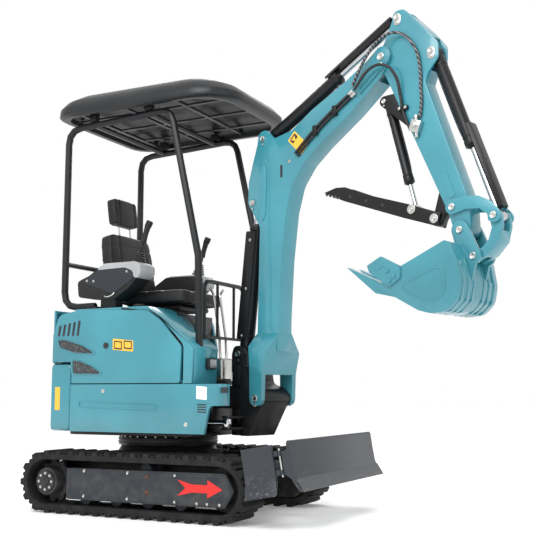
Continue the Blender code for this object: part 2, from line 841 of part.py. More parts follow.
def make_console():
    side = rounded(
        [
            (-0.360, 1.170), (-0.120, 1.150), (-0.020, 1.210), (0.060, 1.290), (0.060, 1.340),
            (-0.060, 1.345), (-0.200, 1.345), (-0.290, 1.290), (-0.370, 1.260),
        ],
        [0.02, 0.03, 0.04, 0.01, 0.02, 0.02, 0.03, 0.04, 0.02],
        2,
    )
    shell = side_plate(side, -0.390, -0.255)
    stand = box((-0.220, -0.370, COVER_TOP_Z + GAP), (-0.120, -0.300, 1.180))
    return join(shell, stand)


def make_joystick(y, base_z):
    boot = rod((-0.005, y, base_z + GAP), (-0.005, y, base_z + 0.045), 0.034, 14, 0.017)
    stem = rod((-0.002, y, base_z + 0.040), (0.012, y, base_z + 0.090), 0.010, 10)
    grip = rod((0.008, y, base_z + 0.080), (0.045, y, base_z + 0.240), 0.022, 12, 0.028)
    return join(boot, stem, grip)


piece("seat_base", make_seat_base(), "black", HOUSE)
piece("seat_cushion", cushion((-0.215, -0.225, 1.1303), (0.240, 0.225, 1.215), 0.030), "vinyl", HOUSE)
piece("seat_back", make_seat_back(), "vinyl", HOUSE)
piece("headrest", make_headrest(), "vinyl", HOUSE)
right_console = make_console()
left_console = mirrored(right_console)
piece("right_console", right_console, "grey", HOUSE)
piece("left_console", left_console, "grey", HOUSE)
piece("right_joystick", make_joystick(-0.315, 1.345), "black", HOUSE)
piece("left_joystick", make_joystick(0.315, 1.345), "black", HOUSE)


def make_pedestal():
    body = box((0.330, -0.060, 0.708 + GAP), (0.385, 0.060, 0.830), 0.008)
    levers = []
    for y in (-0.035, 0.035):
        levers.append(
            tube(
                [(0.360, y, 0.80), (0.352, y, 0.95), (0.312, y, 1.190), (0.312, y * 2.1, 1.225)],
                0.0075,
                2,
                0.03,
            )
        )
    return join(body, *levers)


def above_cover(low_y, high_y):
    """A cutter that ends a tube on the right cover's sloping front."""
    slope = [(0.110, 1.1387), (0.560, 0.7865), (0.560, 0.500), (0.110, 0.500)]
    return side_plate([Vector(p) for p in slope], low_y, high_y)


def make_front_rail():
    loop = tube(
        [
            (0.375, -0.245, 0.708 + GAP), (0.375, -0.245, 1.245), (0.375, 0.205, 1.245),
            (0.375, 0.205, 0.708 + GAP),
        ],
        0.0125,
        2,
        0.06,
    )
    bars = [tube([(0.375, -0.245, 0.94), (0.375, 0.205, 0.94)], 0.009, 1)]
    bars += [tube([(0.375, y, 0.94), (0.375, y, 1.245)], 0.009, 1) for y in (-0.10, 0.085)]
    return cut(join(loop, *bars), above_cover(-0.600, -0.1995))


piece("travel_levers", make_pedestal(), "steel", HOUSE)
piece("front_rail", make_front_rail(), "black", HOUSE)

# ---------------------------------------------------------------- canopy


def make_side_hoop(y, front_foot_z):
    """One side of the canopy: rear post, roof rail and the raked front post."""
    path = [
        (-0.260, y, 1.120), (-0.480, y, 1.120), (-0.480, y, 2.160), (0.225, y, 2.190), (0.410, y, 1.360)
    ]
    path.append((0.425, y, front_foot_z))
    hoop = tube(path, 0.020, 2, 0.09)
    foot = box((-0.300, y - 0.030, COVER_TOP_Z + GAP), (-0.230, y + 0.030, 1.116))
    return join(hoop, foot)


def make_canopy_frame():
    right = make_side_hoop(-POST_Y, 0.72)
    left = make_side_hoop(POST_Y, 0.72)
    bars = [
        tube([(x, -POST_Y, z), (x, POST_Y, z)], 0.015, 1)
        for x, z in ((-0.480, 1.370), (-0.300, 2.168), (0.080, 2.184))
    ]
    feet = [box((0.395, POST_Y - 0.03, 0.708 + GAP), (0.455, POST_Y + 0.03, 0.728))]
    return cut(join(right, left, *bars, *feet), above_cover(-0.600, 0.0))


def roof_ring(share, height):
    """The roof's outline at one height, shrunk to this share of itself."""
    corners = [(-0.548, -0.468), (0.598, -0.440), (0.598, 0.440), (-0.548, 0.468)]
    outline = rounded(corners, [0.14, 0.22, 0.22, 0.14], 5)
    ring = []
    for place in outline:
        x = -0.035 + (place.x + 0.035) * share
        ring.append((x, place.y * share, ROOF_Z + height))
    return ring


def make_roof():
    """A shallow domed tray with a rim that turns down."""
    levels = (
        (0.96, 0.0), (1.0, 0.012), (0.995, 0.050), (0.93, 0.095), (0.80, 0.135), (0.55, 0.165),
        (0.35, 0.175),
    )
    dome = loft([roof_ring(share, height) for share, height in levels])
    hollow = ((0.90, -0.020), (0.90, 0.030), (0.72, 0.060))
    return cut(dome, loft([roof_ring(share, height) for share, height in hollow]))


piece("canopy_frame", make_canopy_frame(), "black", HOUSE)
piece("canopy_roof", make_roof(), "dark", HOUSE)

# ---------------------------------------------------------------- swing post


def make_swing_post():
    hub_low = rod((0, 0, 0.412), (0, 0, 0.5545), 0.075)
    hub_high = rod((0, 0, 0.6805), (0, 0, 0.785), 0.075)
    web = [
        (0.064, 0.412), (0.118, 0.412), (0.205, 0.560), (0.250, 0.611), (0.205, 0.660), (0.118, 0.690),
        (0.100, 0.785), (0.064, 0.785),
    ]
    web = side_plate(rounded(web, [0, 0.01, 0.05, 0.05, 0.05, 0.03, 0.01, 0], 4), -0.104, 0.104)
    bridges = [
        box((0.0, -0.070, 0.412), (0.070, 0.070, 0.5545)),
        box((0.0, -0.070, 0.6805), (0.070, 0.070, 0.785)),
    ]
    ears = []
    for y in (-0.052, 0.052):
        outline = rounded(
            [
                (-0.045, 0.750), (0.062, 0.750), (0.052, 0.850), (0.035, 0.896), (-0.028, 0.896),
                (-0.045, 0.850),
            ],
            [0, 0, 0.03, 0.03, 0.03, 0.03],
            3,
        )
        ears.append(side_plate(outline, y - 0.012, y + 0.012))
    for z in (0.4525, 0.5115):
        outline = rounded(
            [(0.090, -0.050), (0.085, -0.215), (0.020, -0.215), (-0.040, -0.030), (0.030, 0.020)],
            [0.03, 0.035, 0.035, 0.02, 0.02],
            4,
        )
        ears.append(floor_plate(outline, z - 0.0065, z + 0.0065))
    return join(hub_low, hub_high, web, *bridges, *ears)


piece("swing_post", make_swing_post(), "black", SWING)


def unswung(place):
    """A point of the swing frame at rest, in the machine's frame."""
    return Vector((SWING_X, 0, 0)) + Matrix.Rotation(SWING_ANGLE, 3, "Z") @ Vector(place)


cylinder_pair(
    "swing_cylinder",
    on_machine("swing_cylinder_axis", SWING_CYL_BASE),
    unswung(SWING_CYL_PIN),
    0.420,
    0.030,
    0.015,
    0.0195,
    0.026,
    0.250,
    "Z",
)

# ---------------------------------------------------------------- boom


def foot_ring(half, rear, front):
    """Four corners of the boom's foot at one height, with rear and front given as (X, Z)."""
    places = ((rear, -half), (front, -half), (front, half), (rear, half))
    return [(place[0], y, place[1]) for place, y in places]


def make_boom():
    body = [
        (0.137, 0.860), (0.147, 1.194), (0.157, 1.540), (0.112, 1.612), (0.068, 1.680), (0.072, 1.800),
        (0.105, 1.910), (0.136, 2.000), (0.150, 2.072), (0.205, 2.078), (0.262, 2.018), (0.390, 2.040),
        (0.530, 2.124), (0.751, 2.226), (0.965, 2.345), (1.030, 2.320), (1.030, 2.270), (0.969, 2.196),
        (0.780, 2.055), (0.583, 1.930), (0.470, 1.845), (0.390, 1.745), (0.345, 1.600), (0.310, 1.343),
        (0.288, 1.023), (0.285, 0.860),
    ]
    radii = [0, 0, 0.05, 0.06, 0.05, 0.06, 0.05, 0.05, 0.03, 0.03, 0.03, 0.08, 0.1, 0, 0.04, 0.035, 0.035]
    radii += [0.03, 0, 0.1, 0.12, 0.12, 0.1, 0, 0, 0]
    beam = side_plate(rounded(body, radii, 3), -BOOM_HALF, BOOM_HALF)
    rings = [
        foot_ring(FOOT_HALF, (0.158, 0.735), (0.245, 0.735)),
        foot_ring(FOOT_HALF, (0.149, 0.885), (0.272, 0.850)),
        foot_ring(BOOM_HALF + 0.001, (0.136, 0.955), (0.288, 0.955)),
    ]
    legs = []
    for y in (-0.1230, 0.1230):
        outline = [Vector((0.156, 0.760))] + arc(FOOT.xz, 0.042, 180, 360, 8) + [Vector((0.247, 0.760))]
        legs.append(side_plate(outline, y - 0.0145, y + 0.0145))
    cheeks = []
    for y in (-0.0585, 0.0585):
        outline = [Vector((0.850, 2.140)), Vector((0.850, 2.262))] + arc(ARM_PIVOT.xz, 0.052, 110, -60, 8)
        cheeks.append(side_plate(outline, y - 0.0080, y + 0.0080))
    solid = join(beam, loft(rings), *legs, *cheeks)
    throat = cross_rod(ARM_PIVOT, 0.0495, 0.118, 28)
    head_slot = side_plate(
        rounded([(0.080, 1.955), (0.080, 2.200), (0.340, 2.200), (0.262, 1.962)], [0, 0, 0, 0.03]),
        -0.0370,
        0.0370,
    )
    rear_slot = side_plate(
        [
            Vector(p)
            for p in (
                (0.020, 1.480), (0.150, 1.545), (0.176, 1.600), (0.176, 1.820), (0.150, 1.870),
                (0.020, 1.930),
            )
        ],
        -0.0320,
        0.0320,
    )
    return cut(solid, throat, head_slot, rear_slot)


def make_arm():
    body = [
        (0.985, 2.360), (1.040, 2.470), (1.050, 2.522), (1.110, 2.520), (1.232, 2.387), (1.300, 2.300),
        (1.298, 2.225), (1.240, 2.160), (1.225, 2.120), (1.307, 1.889), (1.385, 1.660), (1.442, 1.500),
        (1.447, 1.355), (1.375, 1.326), (1.340, 1.440), (1.326, 1.480), (1.079, 2.018),
        (0.995, 2.205), (0.925, 2.265), (0.930, 2.330),
    ]
    radii = [
        0.05, 0.05, 0.03, 0.04, 0.06, 0.045, 0.045, 0.04, 0, 0, 0, 0.04, 0.035, 0.035, 0.04, 0, 0, 0.04,
        0.04, 0.04,
    ]
    solid = side_plate(rounded(body, radii, 3), -ARM_HALF, ARM_HALF)
    rod_slot = cross_rod(ARM_CYL_PIN, 0.0270, 0.082, 20)
    front_slot = side_plate(
        [Vector(p) for p in ((1.215, 2.330), (1.400, 2.370), (1.400, 2.050), (1.236, 2.190))],
        -0.0345,
        0.0345,
    )
    return cut(solid, rod_slot, front_slot)


ARM_BACK_TOP = Vector((1.079, 2.018))
ARM_BACK_LOW = Vector((1.326, 1.480))


def behind_arm(along, out):
    """A point beside the arm's back face: a share of the way down it, and this far out from it."""
    run = ARM_BACK_LOW - ARM_BACK_TOP
    normal = Vector((run.y, -run.x)).normalized()
    return ARM_BACK_TOP + run * along + normal * out


def make_thumb_bracket():
    pivot = Vector((THUMB_PIVOT.x, THUMB_PIVOT.z))
    outline = [behind_arm(0.80, GAP), behind_arm(0.985, GAP)]
    outline += arc(pivot, 0.036, 290, 110, 7)
    return side_plate(outline, -0.0255, 0.0255)


def make_cylinder_bracket():
    pin = Vector((THUMB_CYL_BASE.x, THUMB_CYL_BASE.z))
    outline = [behind_arm(0.20, GAP), behind_arm(-0.16, GAP)] + arc(pin, 0.028, 90, 235, 7)
    ears = side_plate(outline, -0.0400, 0.0400)
    slot = [
        behind_arm(share, out)
        for share, out in ((-0.4, 0.012), (0.6, 0.012), (0.6, 0.200), (-0.4, 0.200))
    ]
    return cut(ears, side_plate(slot, -0.0285, 0.0285))


piece("boom", make_boom(), "teal", BOOM)
piece("arm", make_arm(), "teal", ARM)
piece("thumb_bracket", make_thumb_bracket(), "black", ARM)
piece("thumb_cylinder_bracket", make_cylinder_bracket(), "black", ARM)

cylinder_pair(
    "boom_cylinder",
    on_swing("boom_cylinder_axis", BOOM_CYL_BASE),
    BOOM_CYL_PIN,
    0.715,
    0.040,
    0.020,
    0.0310,
    0.034,
    0.515,
)
cylinder_pair(
    "arm_cylinder",
    on_swing("arm_cylinder_axis", ARM_CYL_BASE),
    ARM_CYL_PIN,
    0.560,
    0.035,
    0.018,
    0.0260,
    0.030,
    0.290,
)
cylinder_pair(
    "bucket_cylinder",
    on_swing("bucket_cylinder_axis", BUCKET_CYL_BASE),
    LINK_PIN,
    0.525,
    0.030,
    0.016,
    0.0255,
    0.028,
    0.105,
)
cylinder_pair(
    "thumb_cylinder",
    on_swing("thumb_cylinder_axis", THUMB_CYL_BASE),
    THUMB_CYL_PIN,
    0.440,
    0.024,
    0.012,
    0.0200,
    0.022,
    0.200,
)

# ---------------------------------------------------------------- bucket and linkage


def make_bucket():
    outer = [
        (1.000, 1.128), (1.090, 1.092), (1.235, 1.012), (1.300, 0.994), (1.385, 1.000), (1.440, 1.050),
        (1.456, 1.130), (1.440, 1.230), (1.405, 1.308), (1.380, 1.318), (1.138, 1.219),
    ]
    radii = [0, 0, 0.08, 0.10, 0.07, 0.07, 0.08, 0.08, 0.02, 0.01, 0.04]
    shell = side_plate(rounded(outer, radii, 3), -BUCKET_HALF, BUCKET_HALF)
    inner = [
        (0.960, 1.160), (1.020, 1.134), (1.096, 1.104), (1.240, 1.026), (1.300, 1.008), (1.378, 1.014),
        (1.428, 1.056), (1.442, 1.130), (1.428, 1.222), (1.395, 1.296), (1.340, 1.500), (0.960, 1.500),
    ]
    radii = [0, 0, 0, 0.07, 0.09, 0.06, 0.06, 0.07, 0.07, 0, 0, 0]
    hollow = side_plate(rounded(inner, radii, 3), -BUCKET_HALF + 0.012, BUCKET_HALF - 0.012)
    shell = cut(shell, hollow)
    ears = []
    for y in (-0.0605, 0.0605):
        outline = [Vector((1.380, 1.290))] + arc((BUCKET_PIVOT.x, BUCKET_PIVOT.z), 0.043, 205, 30, 8)
        outline += arc(
            (BUCKET_LINK_PIN.x, BUCKET_LINK_PIN.z), 0.038, 45, -75, 6
        ) + [Vector((1.452, 1.130)), Vector((1.425, 1.230))]
        ears.append(side_plate(outline, y - 0.0080, y + 0.0080))
    teeth = []
    for index in range(4):
        y = -0.144 + 0.096 * index
        outline = [
            (0.832, 1.244), (1.000, 1.168), (1.035, 1.150), (1.110, 1.103), (1.110, 1.080), (1.000, 1.106)
        ]
        teeth.append(side_plate([Vector(p) for p in outline], y - 0.022, y + 0.022))
    cutters = []
    for y in (-0.177, 0.177):
        outline = rounded(
            [
                (1.045, 1.276), (0.965, 1.238), (0.978, 1.205), (1.085, 1.128), (1.150, 1.165),
                (1.150, 1.222),
            ],
            [0.008, 0.005, 0.005, 0.02, 0.015, 0.015],
            2,
        )
        cutters.append(side_plate(outline, y - 0.008, y + 0.008))
    return join(shell, *ears, *teeth, *cutters)


def make_rocker(low, high):
    centre_1 = (ROCKER_PIVOT.x, ROCKER_PIVOT.z)
    centre_2 = (LINK_PIN.x, LINK_PIN.z)
    outline = arc(centre_1, 0.036, 110, 270, 6)
    outline += [Vector((1.430, 1.468)), Vector((1.500, 1.462)), Vector((1.540, 1.432))]
    outline += arc(centre_2, 0.034, 215, 400, 6)
    outline += [Vector((1.560, 1.488)), Vector((1.500, 1.520)), Vector((1.425, 1.530))]
    return side_plate(outline, low, high)


def make_link():
    top = (LINK_PIN.x, LINK_PIN.z)
    foot = (BUCKET_LINK_PIN.x, BUCKET_LINK_PIN.z)
    outline = arc(top, 0.030, 0, 175, 6) + [
        Vector((1.552, 1.370)), Vector((1.535, 1.320)), Vector((1.500, 1.285))
    ]
    outline += arc(foot, 0.028, 95, 275, 6) + [
        Vector((1.530, 1.252)), Vector((1.585, 1.310)), Vector((1.603, 1.380))
    ]
    body = side_plate(outline, -0.0505, 0.0505)
    top_slot = cross_rod(LINK_PIN, 0.0275, 0.072)
    foot_slot = cross_rod(BUCKET_LINK_PIN, 0.0200, 0.048)
    return cut(body, top_slot, foot_slot)


piece("bucket", make_bucket(), "teal", BUCKET)
piece("right_bucket_rocker", make_rocker(-0.0665, -0.0525), "teal", ROCKER)
piece("left_bucket_rocker", make_rocker(0.0525, 0.0665), "teal", ROCKER)
piece("bucket_link", make_link(), "teal", LINK)

# ---------------------------------------------------------------- thumb


def make_thumb():
    run = Vector((THUMB_TIP.x - THUMB_PIVOT.x, THUMB_TIP.z - THUMB_PIVOT.z))
    unit = run.normalized()
    up = Vector((unit.y, -unit.x))
    base = Vector((THUMB_PIVOT.x, THUMB_PIVOT.z))

    def at(share, height):
        return base + run * share + up * height

    outline = [
        at(-0.03, 0.030), at(0.25, 0.034), at(0.60, 0.030), at(0.82, 0.040), at(0.90, 0.026),
        at(1.0, -0.016),
    ]
    teeth = []
    for index in range(5):
        teeth += [at(0.985 - 0.035 * index, -0.012), at(0.975 - 0.035 * index, -0.028)]
    outline += teeth + [at(0.78, -0.030), at(0.25, -0.036), at(-0.03, -0.034)]
    cheeks = [side_plate(outline, y - 0.0065, y + 0.0065) for y in (-0.0350, 0.0350)]
    spine = [at(0.52, 0.014), at(0.52, -0.024), at(0.92, -0.010), at(0.86, 0.010)]
    return join(side_plate(spine, -0.034, 0.034), *cheeks)


piece("thumb", make_thumb(), "black", THUMB)
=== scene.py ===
"""Looks of the mini excavator: paint, rubber, vinyl and the trim on the fixed frame.

Places are given in the machine's own frame, whose X = 0 is the slew axis, or in the swing frame,
whose X runs along the boom. Each finished piece stands at the origin with its place in its mesh.
"""

import json
import math

import bmesh
import bpy
from mathutils import Matrix, Vector


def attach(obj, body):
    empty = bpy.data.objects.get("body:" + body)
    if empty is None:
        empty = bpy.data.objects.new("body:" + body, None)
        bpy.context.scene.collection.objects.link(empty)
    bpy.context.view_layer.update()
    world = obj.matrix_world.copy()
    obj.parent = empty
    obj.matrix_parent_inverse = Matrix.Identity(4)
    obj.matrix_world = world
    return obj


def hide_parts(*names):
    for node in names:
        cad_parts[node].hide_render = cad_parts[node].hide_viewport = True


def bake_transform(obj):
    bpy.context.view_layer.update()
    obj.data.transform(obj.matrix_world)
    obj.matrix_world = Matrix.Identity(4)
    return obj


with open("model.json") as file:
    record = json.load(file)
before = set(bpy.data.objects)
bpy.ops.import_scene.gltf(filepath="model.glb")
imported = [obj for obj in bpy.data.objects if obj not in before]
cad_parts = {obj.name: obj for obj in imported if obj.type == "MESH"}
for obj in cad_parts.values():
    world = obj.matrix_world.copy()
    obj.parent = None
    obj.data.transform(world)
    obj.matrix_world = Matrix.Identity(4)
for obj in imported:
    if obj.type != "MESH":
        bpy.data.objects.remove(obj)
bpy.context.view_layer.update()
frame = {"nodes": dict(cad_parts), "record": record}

bl_info = {
    "name": "Mini Excavator Looks",
    "version": (1, 0, 0),
    "blender": (4, 5, 0),
    "location": "View3D > Sidebar > Excavator",
    "description": "Builds the finishes and trim of a canopy mini excavator",
    "category": "Object",
}

SLEW_X = -0.7035
SWING_X = 0.5
SWING_ANGLE = math.radians(-15.0)
BLADE_PIVOT = Vector((0.3, 0.0, 0.2))
BLADE_LIFT = math.radians(10.0)

MACHINE = Matrix.Translation((SLEW_X, 0, 0))
SWING = Matrix.Translation((SLEW_X + SWING_X, 0, 0)) @ Matrix.Rotation(SWING_ANGLE, 4, "Z")
BLADE = (
    MACHINE
    @ Matrix.Translation(BLADE_PIVOT)
    @ Matrix.Rotation(-BLADE_LIFT, 4, "Y")
    @ Matrix.Translation(-BLADE_PIVOT)
)

TRACK_REAR_X = -0.458
TRACK_FRONT_X = 0.625
AXLE_Z = 0.165
LOOP_RADIUS = 0.145
STRAIGHT = TRACK_FRONT_X - TRACK_REAR_X
LOOP_LENGTH = 2 * STRAIGHT + 2 * math.pi * LOOP_RADIUS
SHOES = 38
FIRST_SHOE = 0.76
# Radius of the rounded ends of the dark sheet of painted shade inside each track loop.
SHADE_SHEET_RADIUS = 0.108
GUARD_FACE_Y = 0.5002
CONSOLE_FACE_Y = 0.3905
STICK_Y = 0.315
ROOF_BEAD_Z = 2.319
BOOM_FACE_V = -0.0545
CAMERA_PLACE = (2.936 + SLEW_X, -4.488, 0.65)
CAMERA_TURN = (math.radians(97.71), 0, math.radians(27.2))
SENSOR_WIDTH = 36.0
FLOOR_GLOW = 0.14
HOUSE_SIDE_Y = -0.455

FOOT_PIN = (0.2, 0.611)
ARM_PIVOT = (0.985, 2.3)
ROCKER_PIN = (1.363, 1.487)
CYLINDERS = {
    "boom": ((0.005, 0.851), (0.104, 1.681)),
    "arm": ((0.179, 2.032), (1.073, 2.488)),
    "bucket": ((1.262, 2.268), (1.571, 1.423)),
    "thumb": ((0.981, 2.076), (1.132, 1.515)),
}

# ---------------------------------------------------------------- sizes and colours


def colour_setting(name, about, value):
    return bpy.props.FloatVectorProperty(
        name=name, description=about, subtype="COLOR", size=3, min=0.0, max=1.0, default=value)


def length_setting(name, about, low, high, value):
    return bpy.props.FloatProperty(
        name=name, description=about, unit="LENGTH", min=low, max=high, default=value)


class MachinePaint(bpy.types.PropertyGroup):
    body: colour_setting("Body", "Gloss paint of the house, boom and bucket", (0.04, 0.25, 0.312))
    frame: colour_setting(
        "Frame", "Satin paint of the posts, hubs and cylinders", (0.0065, 0.007, 0.008)
    )
    plates: colour_setting("Plates", "Dark grey of the track guards and the blade", (0.022, 0.027, 0.034))
    gloss: bpy.props.FloatProperty(
        name="Gloss", description="Roughness of the body paint", subtype="FACTOR",
        min=0.05, max=1.0, default=0.26)


class MachineTrim(bpy.types.PropertyGroup):
    hose_radius: length_setting("Hose", "Radius of the hydraulic hoses", 0.003, 0.02, 0.0075)
    edge_round: length_setting("Edges", "Rounding of the plates' edges", 0.0005, 0.01, 0.0028)


class MachineStage(bpy.types.PropertyGroup):
    floor: colour_setting("Floor", "Colour of the plain floor", (0.92, 0.92, 0.92))
    key_power: bpy.props.FloatProperty(
        name="Key", description="Power of the main soft light", unit="POWER",
        min=0.0, max=5000.0, default=170.0)
    lens: bpy.props.FloatProperty(
        name="Lens", description="Focal length of the camera", subtype="DISTANCE_CAMERA",
        min=10.0, max=300.0, default=62.07)


# ---------------------------------------------------------------- finishes


class Wire:
    """A socket whose arithmetic adds Math nodes."""

    def __init__(self, bench, socket):
        self.bench = bench
        self.socket = socket

    def _math(self, operation, first, second):
        return self.bench.node("ShaderNodeMath", {"operation": operation}, {0: first, 1: second}).out(0)

    def __add__(self, other):
        return self._math("ADD", self, other)

    def __radd__(self, other):
        return self._math("ADD", other, self)

    def __sub__(self, other):
        return self._math("SUBTRACT", self, other)

    def __rsub__(self, other):
        return self._math("SUBTRACT", other, self)

    def __mul__(self, other):
        return self._math("MULTIPLY", self, other)


class Step:
    def __init__(self, bench, node):
        self.bench = bench
        self.made = node

    def out(self, name):
        return Wire(self.bench, self.made.outputs[name])


class Bench:
    """One material in the making."""

    def __init__(self, name):
        self.material = bpy.data.materials.new(name)
        self.material.use_nodes = True
        self.tree = self.material.node_tree
        self.shader = self.tree.nodes["Principled BSDF"]
        self.place = self.node("ShaderNodeTexCoord", {}, {}).out("Object")

    def node(self, kind, settings, values):
        made = self.tree.nodes.new(kind)
        for setting, value in settings.items():
            setattr(made, setting, value)
        for socket, value in values.items():
            if isinstance(value, Wire):
                self.tree.links.new(value.socket, made.inputs[socket])
            else:
                made.inputs[socket].default_value = value
        return Step(self, made)

    def noise(self, scale, detail=2.0, rough=0.5, place=None):
        values = {"Vector": place or self.place, "Scale": scale, "Detail": detail, "Roughness": rough}
        return self.node("ShaderNodeTexNoise", {}, values).out(0)

    def stretched(self, scales):
        settings = {"vector_type": "POINT"}
        return self.node("ShaderNodeMapping", settings, {"Vector": self.place, "Scale": scales}).out(0)

    def span(self, wire, low, high, to_low=0.0, to_high=1.0):
        values = {"Value": wire, "From Min": low, "From Max": high, "To Min": to_low, "To Max": to_high}
        return self.node("ShaderNodeMapRange", {"clamp": True}, values).out(0)

    def height(self):
        return self.node("ShaderNodeSeparateXYZ", {}, {0: self.place}).out("Z")

    def dust(self, low, high, scale, rough, start, full):
        """Dust in patches, which thins out with height."""
        fade = self.span(self.height(), low, high, 1.0, 0.0)
        return fade * self.span(self.noise(scale, 5.0, rough), start, full)

    def mix(self, factor, first, second):
        def colour(value):
            return value if isinstance(value, Wire) else (*value, 1.0)

        values = {0: factor, 6: colour(first), 7: colour(second)}
        return self.node("ShaderNodeMix", {"data_type": "RGBA"}, values).out(2)

    def bump(self, height, strength, distance=0.001):
        values = {"Height": height, "Strength": strength, "Distance": distance}
        normal = self.node("ShaderNodeBump", {}, values).out("Normal")
        self.feed("Normal", normal)

    def feed(self, socket, value):
        if isinstance(value, Wire):
            self.tree.links.new(value.socket, self.shader.inputs[socket])
        elif isinstance(value, tuple):
            self.shader.inputs[socket].default_value = (*value, 1.0)
        else:
            self.shader.inputs[socket].default_value = value


def shade(colour, factor, lift=0.0):
    """A colour made lighter or darker."""
    return tuple(min(1.0, channel * factor + lift) for channel in colour)


def body_paint(name, colour, rough):
    """Gloss paint with a faint orange peel, and a little dust low down."""
    bench = Bench(name)
    cloud = bench.noise(2.2, 3.0)
    base = bench.mix(bench.span(cloud, 0.3, 0.7), shade(colour, 0.8), shade(colour, 1.12))
    dust = bench.dust(0.3, 0.55, 18.0, 0.65, 0.42, 0.75)
    bench.feed("Base Color", bench.mix(dust * 0.25, base, (0.3, 0.27, 0.23)))
    bench.feed("Roughness", rough + dust * 0.3 + bench.noise(40.0, 3.0) * 0.06)
    bench.feed("Coat Weight", 0.55)
    bench.feed("Coat Roughness", 0.08)
    bench.bump(bench.noise(420.0, 1.0), 0.05, 0.0006)
    return bench.material


def satin_paint(name, colour, rough=0.36, grain=0.1):
    """Sprayed satin paint: fine grain, faint scuffs and pale dust on the low parts."""
    bench = Bench(name)
    scuff = bench.span(bench.noise(26.0, 6.0, 0.7, bench.stretched((1.0, 1.0, 5.0))), 0.6, 0.78)
    worn = shade(colour, 1.7, 0.006)
    dust = bench.dust(0.05, 0.42, 14.0, 0.6, 0.4, 0.72)
    base = bench.mix(scuff * 0.5, colour, worn)
    bench.feed("Base Color", bench.mix(dust * 0.3, base, (0.2, 0.18, 0.155)))
    bench.feed("Roughness", rough + scuff * 0.14 + dust * 0.25)
    bench.feed("Specular IOR Level", 0.32)
    bench.bump(bench.noise(620.0, 2.0), grain, 0.0005)
    return bench.material


def blade_steel(name, colour):
    """Painted plate that earth has polished along its lower edge, with long scratches across."""
    bench = Bench(name)
    streak = bench.noise(9.0, 6.0, 0.72, bench.stretched((6.0, 0.7, 9.0)))
    scratch = bench.span(streak, 0.56, 0.66)
    low = bench.span(bench.height(), 0.19, 0.27, 1.0, 0.0)
    pale = shade(colour, 1.6, 0.02)
    base = bench.mix(scratch * 0.55, colour, pale)
    bench.feed("Base Color", bench.mix(low * scratch * 0.7, base, (0.3, 0.29, 0.28)))
    bench.feed("Metallic", low * scratch * 0.6)
    bench.feed("Roughness", 0.4 + scratch * 0.12 - low * 0.08)
    bench.bump(streak + bench.noise(500.0, 2.0) * 0.2, 0.12, 0.0012)
    return bench.material


def track_rubber(name):
    """Moulded rubber, grey with dust in its hollows."""
    bench = Bench(name)
    dust = bench.span(bench.noise(16.0, 6.0, 0.68), 0.44, 0.74)
    fine = bench.noise(240.0, 3.0)
    bench.feed("Base Color", bench.mix(dust * 0.3, (0.01, 0.01, 0.0105), (0.085, 0.08, 0.072)))
    bench.feed("Roughness", 0.72 + dust * 0.16)
    bench.feed("Specular IOR Level", 0.25)
    bench.bump(fine + dust * 0.6, 0.35, 0.0012)
    return bench.material


def seat_vinyl(name):
    """Black vinyl with a pebbled grain and a soft sheen."""
    bench = Bench(name)
    cells = bench.node(
        "ShaderNodeTexVoronoi", {"feature": "DISTANCE_TO_EDGE"}, {"Vector": bench.place, "Scale": 300.0}
    )
    creases = bench.span(cells.out("Distance"), 0.0, 0.35)
    rub = bench.noise(7.0, 3.0)
    bench.feed(
        "Base Color",
        bench.mix(bench.span(rub, 0.35, 0.7), (0.0065, 0.0065, 0.007), (0.016, 0.016, 0.017)),
    )
    bench.feed("Roughness", 0.5 + creases * 0.12 - rub * 0.08)
    bench.feed("Specular IOR Level", 0.35)
    bench.bump(creases + bench.noise(900.0, 2.0) * 0.3, 0.28, 0.0006)
    return bench.material


def moulded_plastic(name, colour, rough=0.48, grain=260.0):
    """Moulded plastic with a spark-etched grain."""
    bench = Bench(name)
    tone = bench.noise(5.0, 3.0)
    paler = shade(colour, 1.25, 0.004)
    bench.feed("Base Color", bench.mix(bench.span(tone, 0.35, 0.7), colour, paler))
    bench.feed("Roughness", rough + bench.noise(60.0, 3.0) * 0.1)
    bench.feed("Specular IOR Level", 0.35)
    bench.bump(bench.noise(grain, 3.0, 0.6), 0.18, 0.0008)
    return bench.material


def bright_metal(name, colour, rough):
    """Plated or ground metal with faint lengthwise lines."""
    bench = Bench(name)
    lines = bench.noise(30.0, 4.0, 0.6, bench.stretched((1.0, 1.0, 0.15)))
    bench.feed("Base Color", bench.mix(bench.span(lines, 0.35, 0.75), colour, shade(colour, 0.82)))
    bench.feed("Metallic", 1.0)
    bench.feed("Roughness", rough + bench.span(lines, 0.4, 0.8) * 0.1)
    bench.bump(bench.noise(700.0, 2.0), 0.04, 0.0004)
    return bench.material


def hose_rubber(name):
    """Black hose cover with the lay of its wrapping."""
    bench = Bench(name)
    wrap = bench.node(
        "ShaderNodeTexWave", {"bands_direction": "DIAGONAL"}, {"Vector": bench.place, "Scale": 120.0}
    )
    bench.feed(
        "Base Color",
        bench.mix(
            bench.span(bench.noise(20.0, 4.0), 0.4, 0.7), (0.006, 0.006, 0.0065), (0.016, 0.016, 0.0165)
        ),
    )
    bench.feed("Roughness", 0.46 + bench.noise(80.0, 3.0) * 0.12)
    bench.bump(wrap.out(1), 0.1, 0.0006)
    return bench.material


def spiral_guard(name):
    """A hose under a spiral guard: grey turns over black."""
    bench = Bench(name)
    wrap = bench.node(
        "ShaderNodeTexWave", {"bands_direction": "DIAGONAL"}, {"Vector": bench.place, "Scale": 26.0}
    )
    turns = bench.span(wrap.out(1), 0.4, 0.6)
    bench.feed("Base Color", bench.mix(turns, (0.01, 0.01, 0.011), (0.15, 0.155, 0.16)))
    bench.feed("Roughness", 0.5 - turns * 0.15)
    bench.bump(turns, 0.6, 0.002)
    return bench.material


